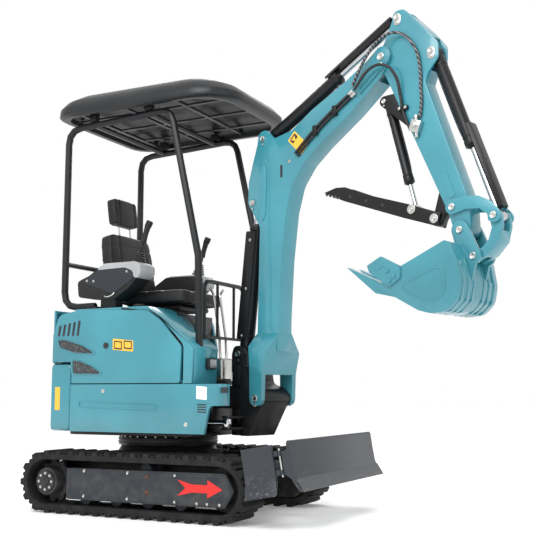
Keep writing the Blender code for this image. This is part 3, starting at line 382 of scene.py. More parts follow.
def decal(name, colour, rough=0.32):
    """A printed label, plain, with a slightly rubbed face; its dark ink is also laid on slits, a slot and
    holes as painted shade.
    """
    bench = Bench(name)
    rub = bench.span(bench.noise(60.0, 5.0, 0.7), 0.5, 0.8)
    bench.feed("Base Color", bench.mix(rub * 0.25, colour, shade(colour, 0.72)))
    bench.feed("Roughness", rough + rub * 0.15)
    return bench.material


def vent_mesh_over_painted_shade(name):
    """Black expanded mesh, with the shade of the hollow behind it painted near black into its holes."""
    bench = Bench(name)
    cells = bench.node(
        "ShaderNodeTexVoronoi", {"feature": "DISTANCE_TO_EDGE"},
        {"Vector": bench.stretched((1.0, 1.0, 1.6)), "Scale": 78.0},
    )
    strand = bench.span(cells.out("Distance"), 0.04, 0.1, 1.0, 0.0)
    # Away from the strands the holes are near black: painted shade of the hollow behind the mesh.
    bench.feed("Base Color", bench.mix(strand, (0.006, 0.007, 0.008), (0.15, 0.165, 0.172)))
    bench.feed("Roughness", 0.85 - strand * 0.4)
    bench.bump(strand, 0.6, 0.002)
    return bench.material


def make_finishes(paint):
    """Every finish of the machine, by its plain name."""
    body = tuple(paint.body)
    black = tuple(paint.frame)
    plates = tuple(paint.plates)
    return {
        "body": body_paint("body gloss paint", body, paint.gloss),
        "black": satin_paint("frame satin paint", black),
        "post": satin_paint("post paint", shade(black, 1.5), 0.4, 0.14),
        "plates": satin_paint("guard plate paint", plates, 0.42),
        "blade": blade_steel("blade paint", plates),
        "rubber": track_rubber("track rubber"),
        "vinyl": seat_vinyl("seat vinyl"),
        "roof": moulded_plastic("roof shell", (0.0095, 0.0105, 0.012), 0.34, 120.0),
        "plastic": moulded_plastic("black plastic", (0.0075, 0.0075, 0.008), 0.46),
        "console": moulded_plastic("console grey", (0.33, 0.34, 0.35), 0.5),
        "chrome": bright_metal("chromed rod", (0.56, 0.57, 0.58), 0.1),
        "silver": bright_metal("plated steel", (0.62, 0.62, 0.6), 0.24),
        "cast": satin_paint("cast iron", (0.022, 0.022, 0.024), 0.55, 0.4),
        "engine": satin_paint("engine casting", (0.06, 0.062, 0.066), 0.52, 0.35),
        "hose": hose_rubber("hose cover"),
        "spiral": spiral_guard("spiral hose guard"),
        "amber": decal("amber label", (0.88, 0.48, 0.045)),
        "white": decal("white label", (0.8, 0.82, 0.83)),
        # The dark label ink is also used as painted shade in the slits, the boom's hose slot and the
        # thumb's holes.
        "ink_and_painted_shade": decal("label ink", (0.02, 0.022, 0.024), 0.4),
        "red": decal("red arrow paint", (0.72, 0.016, 0.012), 0.34),
        # The vent mesh's holes carry painted shade of the hollow behind it.
        "mesh": vent_mesh_over_painted_shade("vent mesh over painted shade"),
        "rust": satin_paint("rusty bolt", (0.12, 0.048, 0.022), 0.7, 0.5),
    }


# ---------------------------------------------------------------- working by hand


OUTWARD = ("normals_make_consistent", {"inside": False})
SIDES = (("right", -1), ("left", 1))


def deselect():
    if bpy.context.mode != "OBJECT":
        bpy.ops.object.mode_set(mode="OBJECT")
    bpy.ops.object.select_all(action="DESELECT")


def pick(obj):
    deselect()
    obj.select_set(True)
    bpy.context.view_layer.objects.active = obj
    return obj


def settle(obj):
    pick(obj)
    bpy.ops.object.transform_apply(location=True, rotation=True, scale=True)
    return obj


def linked(name, data):
    obj = bpy.data.objects.new(name, data)
    bpy.context.scene.collection.objects.link(obj)
    return obj


def edit(obj, *steps):
    """Runs mesh operators, each named with its settings, on the whole of an object."""
    pick(obj)
    bpy.ops.object.mode_set(mode="EDIT")
    for step, settings in steps:
        bpy.ops.mesh.select_all(action="SELECT")
        getattr(bpy.ops.mesh, step)(**settings)
    bpy.ops.object.mode_set(mode="OBJECT")
    return obj


def block(low, high, bevel=0.0):
    """A cube set between two corners, with its edges bevelled."""
    deselect()
    low, high = Vector(low), Vector(high)
    bpy.ops.mesh.primitive_cube_add(size=1, location=(low + high) / 2)
    obj = bpy.context.active_object
    obj.scale = high - low
    settle(obj)
    return edit(obj, ("bevel", {"offset": bevel, "segments": 2, "profile": 0.5})) if bevel else obj


def bar(start, end, radius, sides=20, bevel=0.0):
    """A cylinder from one point to another, with a bevelled rim."""
    deselect()
    start, end = Vector(start), Vector(end)
    run = end - start
    bpy.ops.mesh.primitive_cylinder_add(
        vertices=sides, radius=radius, depth=run.length, location=(start + end) / 2
    )
    obj = bpy.context.active_object
    obj.rotation_mode = "QUATERNION"
    obj.rotation_quaternion = run.to_track_quat("Z", "Y")
    settle(obj)
    return rim_bevel(obj, bevel) if bevel else obj


def rim_bevel(obj, width, segments=2, angle=40.0):
    pick(obj)
    modifier = obj.modifiers.new("rim", "BEVEL")
    modifier.width = width
    modifier.segments = segments
    modifier.limit_method = "ANGLE"
    modifier.angle_limit = math.radians(angle)
    bpy.ops.object.modifier_apply(modifier=modifier.name)
    return obj


def plate(points, low, high, plane="XZ", bevel=0.0):
    """An outline drawn in a plane, extruded from low to high along the third axis."""
    def place(first, second, third):
        return {
            "XZ": (first, third, second), "XY": (first, second, third), "YZ": (third, first, second)
        }[plane]

    mesh = bpy.data.meshes.new("plate")
    mesh.from_pydata([place(a, b, low) for a, b in points], [], [range(len(points))])
    run = {"value": place(0.0, 0.0, high - low)}
    obj = edit(linked("plate", mesh), ("extrude_region_move", {"TRANSFORM_OT_translate": run}), OUTWARD)
    return rim_bevel(obj, bevel) if bevel else obj


def round_points(points, radius, steps=4):
    """An outline with every corner turned into a small arc."""
    outline = []
    for index, corner in enumerate(points):
        here = Vector(corner)
        before = Vector(points[index - 1]) - here
        after = Vector(points[(index + 1) % len(points)]) - here
        reach = min(radius, 0.45 * before.length, 0.45 * after.length)
        start, end = here + before.normalized() * reach, here + after.normalized() * reach
        for step in range(steps + 1):
            t = step / steps
            outline.append(start.lerp(here, t).lerp(here.lerp(end, t), t))
    return outline


def ring_points(centre, radius, count):
    turns = [math.tau * i / count for i in range(count)]
    return [Vector((centre[0] + radius * math.cos(a), centre[1] + radius * math.sin(a))) for a in turns]


def sweep(points, radius, resolution=4, smooth=True):
    """A hose or rail along a smooth line through the points, turned into a closed mesh."""
    curve = bpy.data.curves.new("sweep", "CURVE")
    curve.dimensions = "3D"
    curve.bevel_depth = radius
    curve.bevel_resolution = resolution
    curve.resolution_u = 8
    curve.use_fill_caps = True
    spline = curve.splines.new("NURBS" if smooth else "POLY")
    spline.points.add(len(points) - 1)
    for point, place in zip(spline.points, points):
        point.co = (*place, 1.0)
    if smooth:
        spline.order_u = min(4, len(points))
        spline.use_endpoint_u = True
    pick(linked("sweep", curve))
    bpy.ops.object.convert(target="MESH")
    return edit(bpy.context.active_object, ("remove_doubles", {"threshold": 0.00001}), OUTWARD)


def through(points, steps=8):
    """A dense line that passes smoothly through every one of these points."""
    ends = [points[0] * 2 - points[1]] + points + [points[-1] * 2 - points[-2]]
    line = []
    for index in range(1, len(ends) - 2):
        a, b, c, d = ends[index - 1:index + 3]
        for step in range(steps):
            t = step / steps
            line.append(
                (
                    b * 2 + (c - a) * t + (
                        a * 2 - b * 5 + c * 4 - d
                    ) * t ** 2 + (b * 3 - a - c * 3 + d) * t ** 3
                ) / 2
            )
    return line + [points[-1]]


def copies(obj, moves):
    """The object at each of these matrices, with its own mesh each time, joined with the first."""
    made = [obj]
    for move in moves[1:]:
        twin = obj.copy()
        twin.data = obj.data.copy()
        twin.data.transform(move)
        bpy.context.scene.collection.objects.link(twin)
        made.append(twin)
    obj.data.transform(moves[0])
    return gather(made)


def gather(pieces):
    deselect()
    for one in pieces:
        one.select_set(True)
    bpy.context.view_layer.objects.active = pieces[0]
    if len(pieces) > 1:
        bpy.ops.object.join()
    return bpy.context.active_object


def cutting(obj, tool):
    pick(obj)
    modifier = obj.modifiers.new("cut", "BOOLEAN")
    modifier.operation = "DIFFERENCE"
    modifier.solver = "EXACT"
    modifier.object = tool
    bpy.ops.object.modifier_apply(modifier=modifier.name)
    bpy.data.objects.remove(tool, do_unlink=True)
    return obj


def finished(obj, name, finish, body, space=MACHINE, smooth=35.0):
    """Puts a piece in its space, smooths it, gives it its finish and hangs it on its body.
    A piece that runs between two bodies has no body of its own, so body is None."""
    settle(obj)
    obj.data.transform(space)
    obj.name = name
    obj.data.name = name
    edit(obj, OUTWARD)
    bpy.ops.object.shade_smooth_by_angle(angle=math.radians(smooth))
    obj.data.materials.clear()
    obj.data.materials.append(FINISHES[finish])
    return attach(obj, body) if body else obj


def both(make):
    """What make builds for the right side and for the left, as one object."""
    return gather([make(-1), make(1)])


def teal(obj, name, body, space=MACHINE):
    return finished(obj, name, "body", body, space)


def hex_head(radius, height):
    """A bolt's hexagon head on its washer, standing on Z = 0."""
    washer = bar((0, 0, 0), (0, 0, height * 0.25), radius * 1.35, 18, radius * 0.08)
    head = bar((0, 0, height * 0.2), (0, 0, height), radius, 6, radius * 0.12)
    return gather([washer, head])


def bolts(name, places, axis, radius, finish, body, space=MACHINE, height=None):
    """Hexagon heads at these places, all facing along one axis."""
    turn = Vector(axis).to_track_quat("Z", "Y").to_matrix().to_4x4()
    head = hex_head(radius, height or radius * 1.0)
    moves = [Matrix.Translation(place) @ turn for place in places]
    return finished(copies(head, moves), name, finish, body, space)


def pin_cap(centre, side, radius, reach):
    """A pin's turned end with its dished face."""
    centre = Vector(centre)
    out = Vector((0, side, 0))
    cap = bar(centre - out * 0.002, centre + out * reach, radius, 28, radius * 0.16)
    pick(cap)
    bpy.ops.object.mode_set(mode="EDIT")
    mesh = bmesh.from_edit_mesh(cap.data)
    for face in mesh.faces:
        face.select = face.normal.dot(out) > 0.99 and (
            face.calc_center_median() - centre
        ).dot(out) > reach * 0.9
    bmesh.update_edit_mesh(cap.data)
    bpy.ops.mesh.inset(thickness=radius * 0.3, depth=-radius * 0.14)
    bpy.ops.object.mode_set(mode="OBJECT")
    return cap


# ---------------------------------------------------------------- carried-over plates

REFINED = {
    "body": ("boom", "arm", "bucket", "bucket_link", "right_bucket_rocker", "left_bucket_rocker",
             "counterweight", "right_lower_panel", "left_lower_panel", "right_top_cover", "left_cover",
             "right_door", "rear_bonnet"),
    "black": ("swing_post", "house_frame", "lower_frame", "slew_bearing", "engine_cover", "thumb",
              "thumb_bracket", "thumb_cylinder_bracket", "boom_cylinder_barrel", "arm_cylinder_barrel",
              "bucket_cylinder_barrel", "thumb_cylinder_barrel", "blade_cylinder_barrel",
              "swing_cylinder_barrel"),
    "post": ("canopy_frame", "front_rail", "floor_plate"),
    "plates": ("right_track_frame", "left_track_frame"),
    "blade": ("dozer_blade", "blade_push_frame", "right_wing", "left_wing"),
    "cast": ("right_sprocket", "left_sprocket", "right_idler", "left_idler"),
    "engine": ("engine_block",),
    "chrome": ("boom_cylinder_rod", "arm_cylinder_rod", "bucket_cylinder_rod", "thumb_cylinder_rod",
               "blade_cylinder_rod", "swing_cylinder_rod"),
    "plastic": ("seat_base", "right_console", "left_console"),
    "silver": ("travel_levers",),
    "roof": ("canopy_roof",),
}


def body_of_node(node):
    return next(body for body, nodes in frame["record"]["behaviour"]["bodies"].items() if node in nodes)


def skin_of(node, name):
    """A copy of a solid with its doubled corners joined and its flat faces merged."""
    return edit(
        linked(name, frame["nodes"][node].data.copy()),
        ("remove_doubles", {"threshold": 0.00002}),
        ("dissolve_limited", {"angle_limit": math.radians(1.5)}),
    )


class FINISH_OT_plates(bpy.types.Operator):
    """Rounds the edges of the structural plates and gives each its paint"""

    bl_idname = "excavator.plates"
    bl_label = "Structural Plates"

    def execute(self, context):
        width = context.scene.excavator_trim.edge_round
        for finish, nodes in REFINED.items():
            for node in nodes:
                obj = skin_of(node, node + "_skin")
                thin = "rod" in node or node in ("travel_levers", "canopy_frame", "front_rail")
                rim_bevel(obj, width * (0.4 if thin else 1.0), 2, 38.0)
                bpy.ops.object.shade_smooth_by_angle(angle=math.radians(32))
                obj.data.materials.clear()
                obj.data.materials.append(FINISHES[finish])
                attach(obj, body_of_node(node))
                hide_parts(node)
        return {"FINISHED"}


# ---------------------------------------------------------------- tracks


class FINISH_OT_tracks(bpy.types.Operator):
    """Dresses both tracks: shoes, ribs, guard plates, dark inner sheets of painted shade, hubs and the
    red arrow
    """

    bl_idname = "excavator.tracks"
    bl_label = "Tracks"

    def execute(self, context):
        for side, sign in SIDES:
            self.shoes(side, sign)
            self.guard(side, sign)
            self.hub(side, sign)
            self.painted_shade_sheet(side, sign)
        return {"FINISHED"}

    def shoes(self, side, sign):
        belt = rim_bevel(skin_of(f"{side}_track", "belt"), 0.003, 2, 30.0)
        belt.data.transform(MACHINE.inverted())
        low, high = (-0.52, -0.3) if sign < 0 else (0.3, 0.52)
        pitch = LOOP_LENGTH / SHOES
        rib = block((-0.01, low + 0.002, -0.001), (0.01, high - 0.002, 0.01), 0.003)
        moves = [self.on_loop((index + FIRST_SHOE) * pitch) for index in range(SHOES)]
        ribs = copies(rib, moves)
        lump = block((-0.011, sign * 0.41 - 0.02, -0.03), (0.011, sign * 0.41 + 0.02, -0.0255), 0.002)
        lumps = copies(lump, moves)
        name = f"{side}_track_shoes"
        shoes = gather([belt, ribs, lumps])
        finished(shoes, name, "rubber", "undercarriage", smooth=30)
        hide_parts(f"{side}_track")

    def on_loop(self, distance):
        """A place on the loop's outer face, from the rear of the ground run forward and round."""
        distance %= LOOP_LENGTH
        half = STRAIGHT + math.pi * LOOP_RADIUS
        if distance < STRAIGHT:
            x, z, angle = TRACK_REAR_X + distance, AXLE_Z - LOOP_RADIUS, -math.pi / 2
        elif distance < half:
            angle = (distance - STRAIGHT) / LOOP_RADIUS - math.pi / 2
            x, z = TRACK_FRONT_X + LOOP_RADIUS * math.cos(angle), AXLE_Z + LOOP_RADIUS * math.sin(angle)
        elif distance < STRAIGHT + half:
            x, z, angle = TRACK_FRONT_X - (distance - half), AXLE_Z + LOOP_RADIUS, math.pi / 2
        else:
            angle = (distance - STRAIGHT - half) / LOOP_RADIUS + math.pi / 2
            x, z = TRACK_REAR_X + LOOP_RADIUS * math.cos(angle), AXLE_Z + LOOP_RADIUS * math.sin(angle)
        return Matrix.Translation((x, 0, z)) @ Matrix.Rotation(math.pi / 2 - angle, 4, "Y")

    def guard(self, side, sign):
        y = sign * GUARD_FACE_Y
        face = (0, sign, 0)
        places = [(x, y, 0.098) for x in (-0.2, 0.08, 0.37, 0.5, 0.56, 0.63)]
        places += [(x, y, 0.228) for x in (-0.2, 0.08, 0.37)]
        bolts(f"{side}_guard_bolts", places, face, 0.0075, "silver", "undercarriage", height=0.006)
        rusty = [(0.2, y, z) for z in (0.215, 0.136)]
        bolts(f"{side}_guard_rusty_bolts", rusty, face, 0.0085, "rust", "undercarriage", height=0.007)
        rim = round_points(
            [(-0.31, 0.086), (0.655, 0.09), (0.7, 0.166), (0.655, 0.239), (-0.31, 0.232)], 0.012
        )
        panel = round_points(
            [(-0.292, 0.104), (0.645, 0.108), (0.68, 0.166), (0.645, 0.221), (-0.292, 0.214)], 0.012
        )
        outer = plate(rim, y - sign * 0.004, y + sign * 0.0025, bevel=0.001)
        inner = plate(panel, y + sign * 0.0008, y + sign * 0.01)
        finished(cutting(outer, inner), f"{side}_guard_rim", "plates", "undercarriage")
        if sign < 0:
            self.arrow(y)

    def painted_shade_sheet(self, side, sign):
        """A dark sheet that closes the loop behind the sprocket, rollers and idler: painted shade of the
        loop's inside.
        """
        outline = []
        for axle, start in ((TRACK_REAR_X, math.pi / 2), (TRACK_FRONT_X, -math.pi / 2)):
            for turn in (start + math.pi * i / 16 for i in range(17)):
                around = axle + SHADE_SHEET_RADIUS * math.cos(turn), AXLE_Z + SHADE_SHEET_RADIUS * math.sin(turn)
                outline.append(Vector(around))
        low, high = sorted((sign * 0.303, sign * 0.309))
        # The dark sheet stands for the shade inside the track loop: painted shade.
        finished(plate(outline, low, high, bevel=0.001), f"{side}_inner_shade_sheet", "black", "undercarriage")

    def arrow(self, y):
        outline = [(0.385, 0.209), (0.47, 0.189), (0.56, 0.189), (0.56, 0.214), (0.645, 0.17),
                   (0.56, 0.126), (0.56, 0.15), (0.47, 0.15), (0.385, 0.13), (0.432, 0.17)]
        finished(plate(outline, y - 0.0022, y + 0.0005), "track_arrow", "red", "undercarriage")

    def hub(self, side, sign):
        centre = Vector((TRACK_REAR_X, sign * 0.498, AXLE_Z))
        out = Vector((0, sign, 0))
        cover = bar(centre - out * 0.002, centre + out * 0.012, 0.058, 40, 0.005)
        boss = bar(centre + out * 0.01, centre + out * 0.018, 0.026, 28, 0.004)
        finished(gather([cover, boss]), f"{side}_drive_cover", "cast", "undercarriage")
        ring = [
            centre + out * 0.011 + Vector((0.043 * math.cos(a), 0, 0.043 * math.sin(a)))
            for a in (math.tau * i / 8 for i in range(8))
        ]
        bolts(f"{side}_drive_bolts", ring, out, 0.0055, "silver", "undercarriage", height=0.005)


# ---------------------------------------------------------------- undercarriage and slew


class FINISH_OT_slew(bpy.types.Operator):
    """Adds the bearing's bolt ring and its two bands"""

    bl_idname = "excavator.slew"
    bl_label = "Slew Bearing"

    def execute(self, context):
        ring = [
            (0.266 * math.cos(a), 0.266 * math.sin(a), 0.3975)
            for a in (math.tau * i / 30 for i in range(30))
        ]
        bolts("bearing_bolts", ring, (0, 0, 1), 0.007, "silver", "undercarriage", height=0.007)
        for name, z, radius, finish in (
            ("bearing_seal", 0.366, 0.2835, "plastic"),
            ("bearing_groove_band", 0.382, 0.2825, "cast"),
        ):
            finished(bar((0, 0, z), (0, 0, z + 0.006), radius, 72, 0.001), name, finish, "undercarriage")
        return {"FINISHED"}


# ---------------------------------------------------------------- blade


class FINISH_OT_blade(bpy.types.Operator):
    """Adds the cutting edge, the top bar and the pins of arms, cylinder and wings"""

    bl_idname = "excavator.blade"
    bl_label = "Dozer Blade"

    def execute(self, context):
        edge = plate(
            [(1.0545, 0.112), (1.0585, 0.112), (1.0852, 0.049), (1.0815, 0.047), (1.0545, 0.104)],
            -0.533, 0.533,
        )
        finished(edge, "cutting_edge", "blade", "blade", BLADE)
        lip = sweep([(1.04, -0.533, 0.286), (1.04, 0.533, 0.286)], 0.006, 4, False)
        finished(lip, "blade_top_bar", "blade", "blade", BLADE)
        caps = both(lambda sign: pin_cap((0.3, sign * 0.2455, 0.2), sign, 0.02, 0.01))
        finished(caps, "push_arm_pins", "silver", "undercarriage")
        caps = both(lambda sign: pin_cap((0.93, sign * 0.0412, 0.19), sign, 0.018, 0.009))
        finished(caps, "blade_cylinder_pins", "silver", "blade", BLADE)
        for side, sign in SIDES:
            hinge = bar((0.985, sign * 0.524, 0.128), (0.985, sign * 0.524, 0.262), 0.006, 14, 0.001)
            finished(hinge, f"{side}_wing_pin", "silver", "blade", BLADE)
        return {"FINISHED"}


# ---------------------------------------------------------------- house


def on_side(x, z, out=0.0):
    return Vector((x, HOUSE_SIDE_Y - out, z))


def side_plate(outline, out, depth, bevel=0.0):
    """A plate on the house's right side, standing out of it and reaching into it."""
    return plate(outline, HOUSE_SIDE_Y - out, HOUSE_SIDE_Y + depth, bevel=bevel)


def scaled(outline, along, up):
    """An outline grown or shrunk about its middle."""
    centre = sum(outline, Vector((0, 0))) / len(outline)
    return [centre + Vector(((p.x - centre.x) * along, (p.y - centre.y) * up)) for p in outline]


class FINISH_OT_house(bpy.types.Operator):
    """Adds the slits and vents, whose dark openings are painted shade, and the lock, labels, grab slot,
    seams, lamp and handle of the house
    """

    bl_idname = "excavator.house"
    bl_label = "House Trim"

    def execute(self, context):
        self.slits()
        self.vents()
        self.lower_slot()
        self.labels()
        self.seams()
        self.front_plates()
        return {"FINISHED"}

    def slits(self):
        pieces = []
        for index in range(5):
            x = -0.446 + 0.033 * index
            top = 1.01 + 0.006 * index
            outline = round_points(
                [(x, 0.95), (x + 0.014, 0.95), (x + 0.026, top), (x + 0.01, top)], 0.006
            )
            # Each slit is a dark plate: painted shade of the opening.
            pieces.append(side_plate(outline, 0.0015, 0.004, 0.0006))
        finished(gather(pieces), "door_slit_painted_shade", "ink_and_painted_shade", "right_door")

    def vents(self):
        shapes = (
            (
                "upper",
                [
                    (-0.442, 0.928), (-0.392, 0.93), (-0.262, 0.893), (-0.196, 0.858), (-0.205, 0.851),
                    (-0.322, 0.858), (-0.425, 0.89),
                ],
            ),
            (
                "lower",
                [
                    (-0.335, 0.816), (-0.29, 0.812), (-0.205, 0.783), (-0.146, 0.748), (-0.152, 0.741),
                    (-0.33, 0.744),
                ],
            ),
        )
        for name, corners in shapes:
            outline = round_points(corners, 0.012)
            rim = side_plate(scaled(outline, 1.14, 1.14), 0.0045, 0.004, 0.0015)
            teal(cutting(rim, side_plate(outline, 0.02, 0.02)), f"{name}_vent_rim", "right_door")
            # The mesh plate shows the hollow behind the vent as painted shade in its holes.
            finished(side_plate(outline, 0.0012, 0.003), f"{name}_vent_mesh_over_painted_shade", "mesh", "right_door")

    def lower_slot(self):
        outline = round_points(
            [(-0.29, 0.602), (0.222, 0.582), (0.222, 0.55), (-0.29, 0.562)], 0.016, 6
        )
        inner = side_plate(scaled(outline, 0.975, 0.66), 0.02, 0.02)
        teal(cutting(side_plate(outline, 0.0035, 0.003, 0.0014), inner), "grab_slot_rim", "house")
        bolts(
            "panel_bolts", [(-0.125, HOUSE_SIDE_Y, 0.65), (0.4, HOUSE_SIDE_Y, 0.48)], (0, -1, 0),
            0.0085, "silver", "house", height=0.005,
        )
        lock = bar(on_side(-0.112, 0.893), on_side(-0.112, 0.893, 0.006), 0.016, 28, 0.0015)
        barrel = bar(on_side(-0.112, 0.893, 0.004), on_side(-0.112, 0.893, 0.009), 0.009, 20, 0.001)
        finished(gather([lock, barrel]), "door_lock", "ink_and_painted_shade", "right_door")
        pieces = []
        for index in range(4):
            z = 0.585 - 0.0125 * index
            slit = [(0.468, z), (0.522, z - 0.002), (0.522, z - 0.008), (0.468, z - 0.006)]
            # Each slit is a dark plate: painted shade of the opening.
            pieces.append(side_plate(round_points(slit, 0.003), 0.0012, 0.004))
        finished(gather(pieces), "nose_slit_painted_shade", "ink_and_painted_shade", "house")

    def labels(self):
        def label(name, corners, finish, body, out=0.0008):
            finished(side_plate(round_points(corners, 0.004), out, 0.001), name, finish, body)

        label(
            "door_label", [(-0.067, 0.93), (0.066, 0.915), (0.066, 0.857), (-0.067, 0.87)], "amber",
            "right_door",
        )
        for index in range(2):
            x = -0.058 + 0.064 * index
            panel = [(x, 0.918), (x + 0.052, 0.912), (x + 0.052, 0.868), (x, 0.874)]
            patch = [(x + 0.006, 0.911), (x + 0.046, 0.906), (x + 0.046, 0.876), (x + 0.006, 0.881)]
            label(f"door_label_panel_{index}", panel, "ink_and_painted_shade", "right_door", 0.0012)
            label(f"door_label_patch_{index}", patch, "amber", "right_door", 0.0016)
        nose = [(0.462, 0.676), (0.524, 0.67), (0.524, 0.604), (0.462, 0.61)]
        label("nose_label", nose, "white", "house")
        tail = [(-0.452, 0.672), (-0.418, 0.67), (-0.418, 0.545), (-0.452, 0.547)]
        label("tail_label", tail, "amber", "house")

    def seams(self):
        groove = sweep(
            [
                (-0.02, -0.446, 1.0905), (0.15, -0.446, 1.0765), (0.235, -0.446, 1.0215),
                (0.368, -0.446, 0.882),
            ],
            0.0045,
            3,
        )
        finished(groove, "door_seal", "plastic", "house")
        edge = sweep([(-0.345, -0.436, 0.692), (0.362, -0.436, 0.692)], 0.0035, 3, False)
        finished(edge, "lower_seal", "plastic", "house")
        strip = [
            (0.378, 0.688), (0.43, 0.688), (0.438, 0.868), (0.425, 0.886), (0.215, 1.052),
            (0.163, 1.088), (0.15, 1.092), (0.162, 1.079), (0.245, 1.026), (0.369, 0.897),
            (0.379, 0.874),
        ]
        teal(plate(strip, -0.4525, -0.433, bevel=0.003), "cover_edge_strip", "house")
        cap = bar((0.01, -0.33, 1.098), (0.01, -0.33, 1.122), 0.034, 32, 0.006)
        finished(cap, "fuel_cap", "plastic", "house")
        handle = sweep(
            [
                (0.205, -0.24, 1.035), (0.195, -0.24, 1.085), (0.28, -0.24, 1.06),
                (0.33, -0.24, 0.99), (0.318, -0.24, 0.965),
            ],
            0.007,
            4,
        )
        finished(handle, "cover_handle", "post", "house")

    def front_plates(self):
        lamp = block((0.4405, -0.33, 0.76), (0.462, -0.25, 0.822), 0.008)
        finished(lamp, "work_lamp", "plastic", "house")
        lens = [(-0.322, 0.768), (-0.258, 0.768), (-0.258, 0.814), (-0.322, 0.814)]
        sign = [(-0.44, 0.668), (-0.372, 0.668), (-0.372, 0.64), (-0.44, 0.64)]
        step = [(0.3, 0.2), (0.44, 0.2), (0.44, 0.33), (0.3, 0.33)]
        for name, corners, radius, low, high, plane, finish in (
            ("work_lamp_glass", lens, 0.008, 0.46, 0.4645, "YZ", "silver"),
            ("nose_plate", sign, 0.003, 0.5995, 0.6025, "YZ", "ink_and_painted_shade"),
            ("left_step_pad", step, 0.02, 0.684, 0.6855, "XY", "plastic"),
        ):
            finished(plate(round_points(corners, radius), low, high, plane), name, finish, "house")


# ---------------------------------------------------------------- seat


def padded_block(low, high, crown):
    """A cushion's block: subdivided, its faces pushed out to a crown and its edges drawn in."""
    low, high = Vector(low), Vector(high)
    obj = edit(block(low, high), ("subdivide", {"number_cuts": 5}))
    centre, half = (low + high) / 2, (high - low) / 2
    for vertex in obj.data.vertices:
        share = [(vertex.co[i] - centre[i]) / half[i] for i in range(3)]
        for axis in range(3):
            others = [share[i] for i in range(3) if i != axis]
            swell = crown * (1 - others[0] ** 2) * (1 - others[1] ** 2)
            vertex.co[axis] += math.copysign(swell, share[axis]) * abs(share[axis]) ** 2
    modifier = obj.modifiers.new("soft", "SUBSURF")
    modifier.levels = modifier.render_levels = 3
    pick(obj)
    bpy.ops.object.modifier_apply(modifier=modifier.name)
    return obj


def sewn_channel(obj, axis, places, face_axis, depth, width):
    """Draws the surface in along lines, as stitching does."""
    for vertex in obj.data.vertices:
        for place in places:
            near = abs(vertex.co[axis] - place) / width
            if near < 1.0:
                vertex.co[face_axis] -= depth * (1 - near * near)


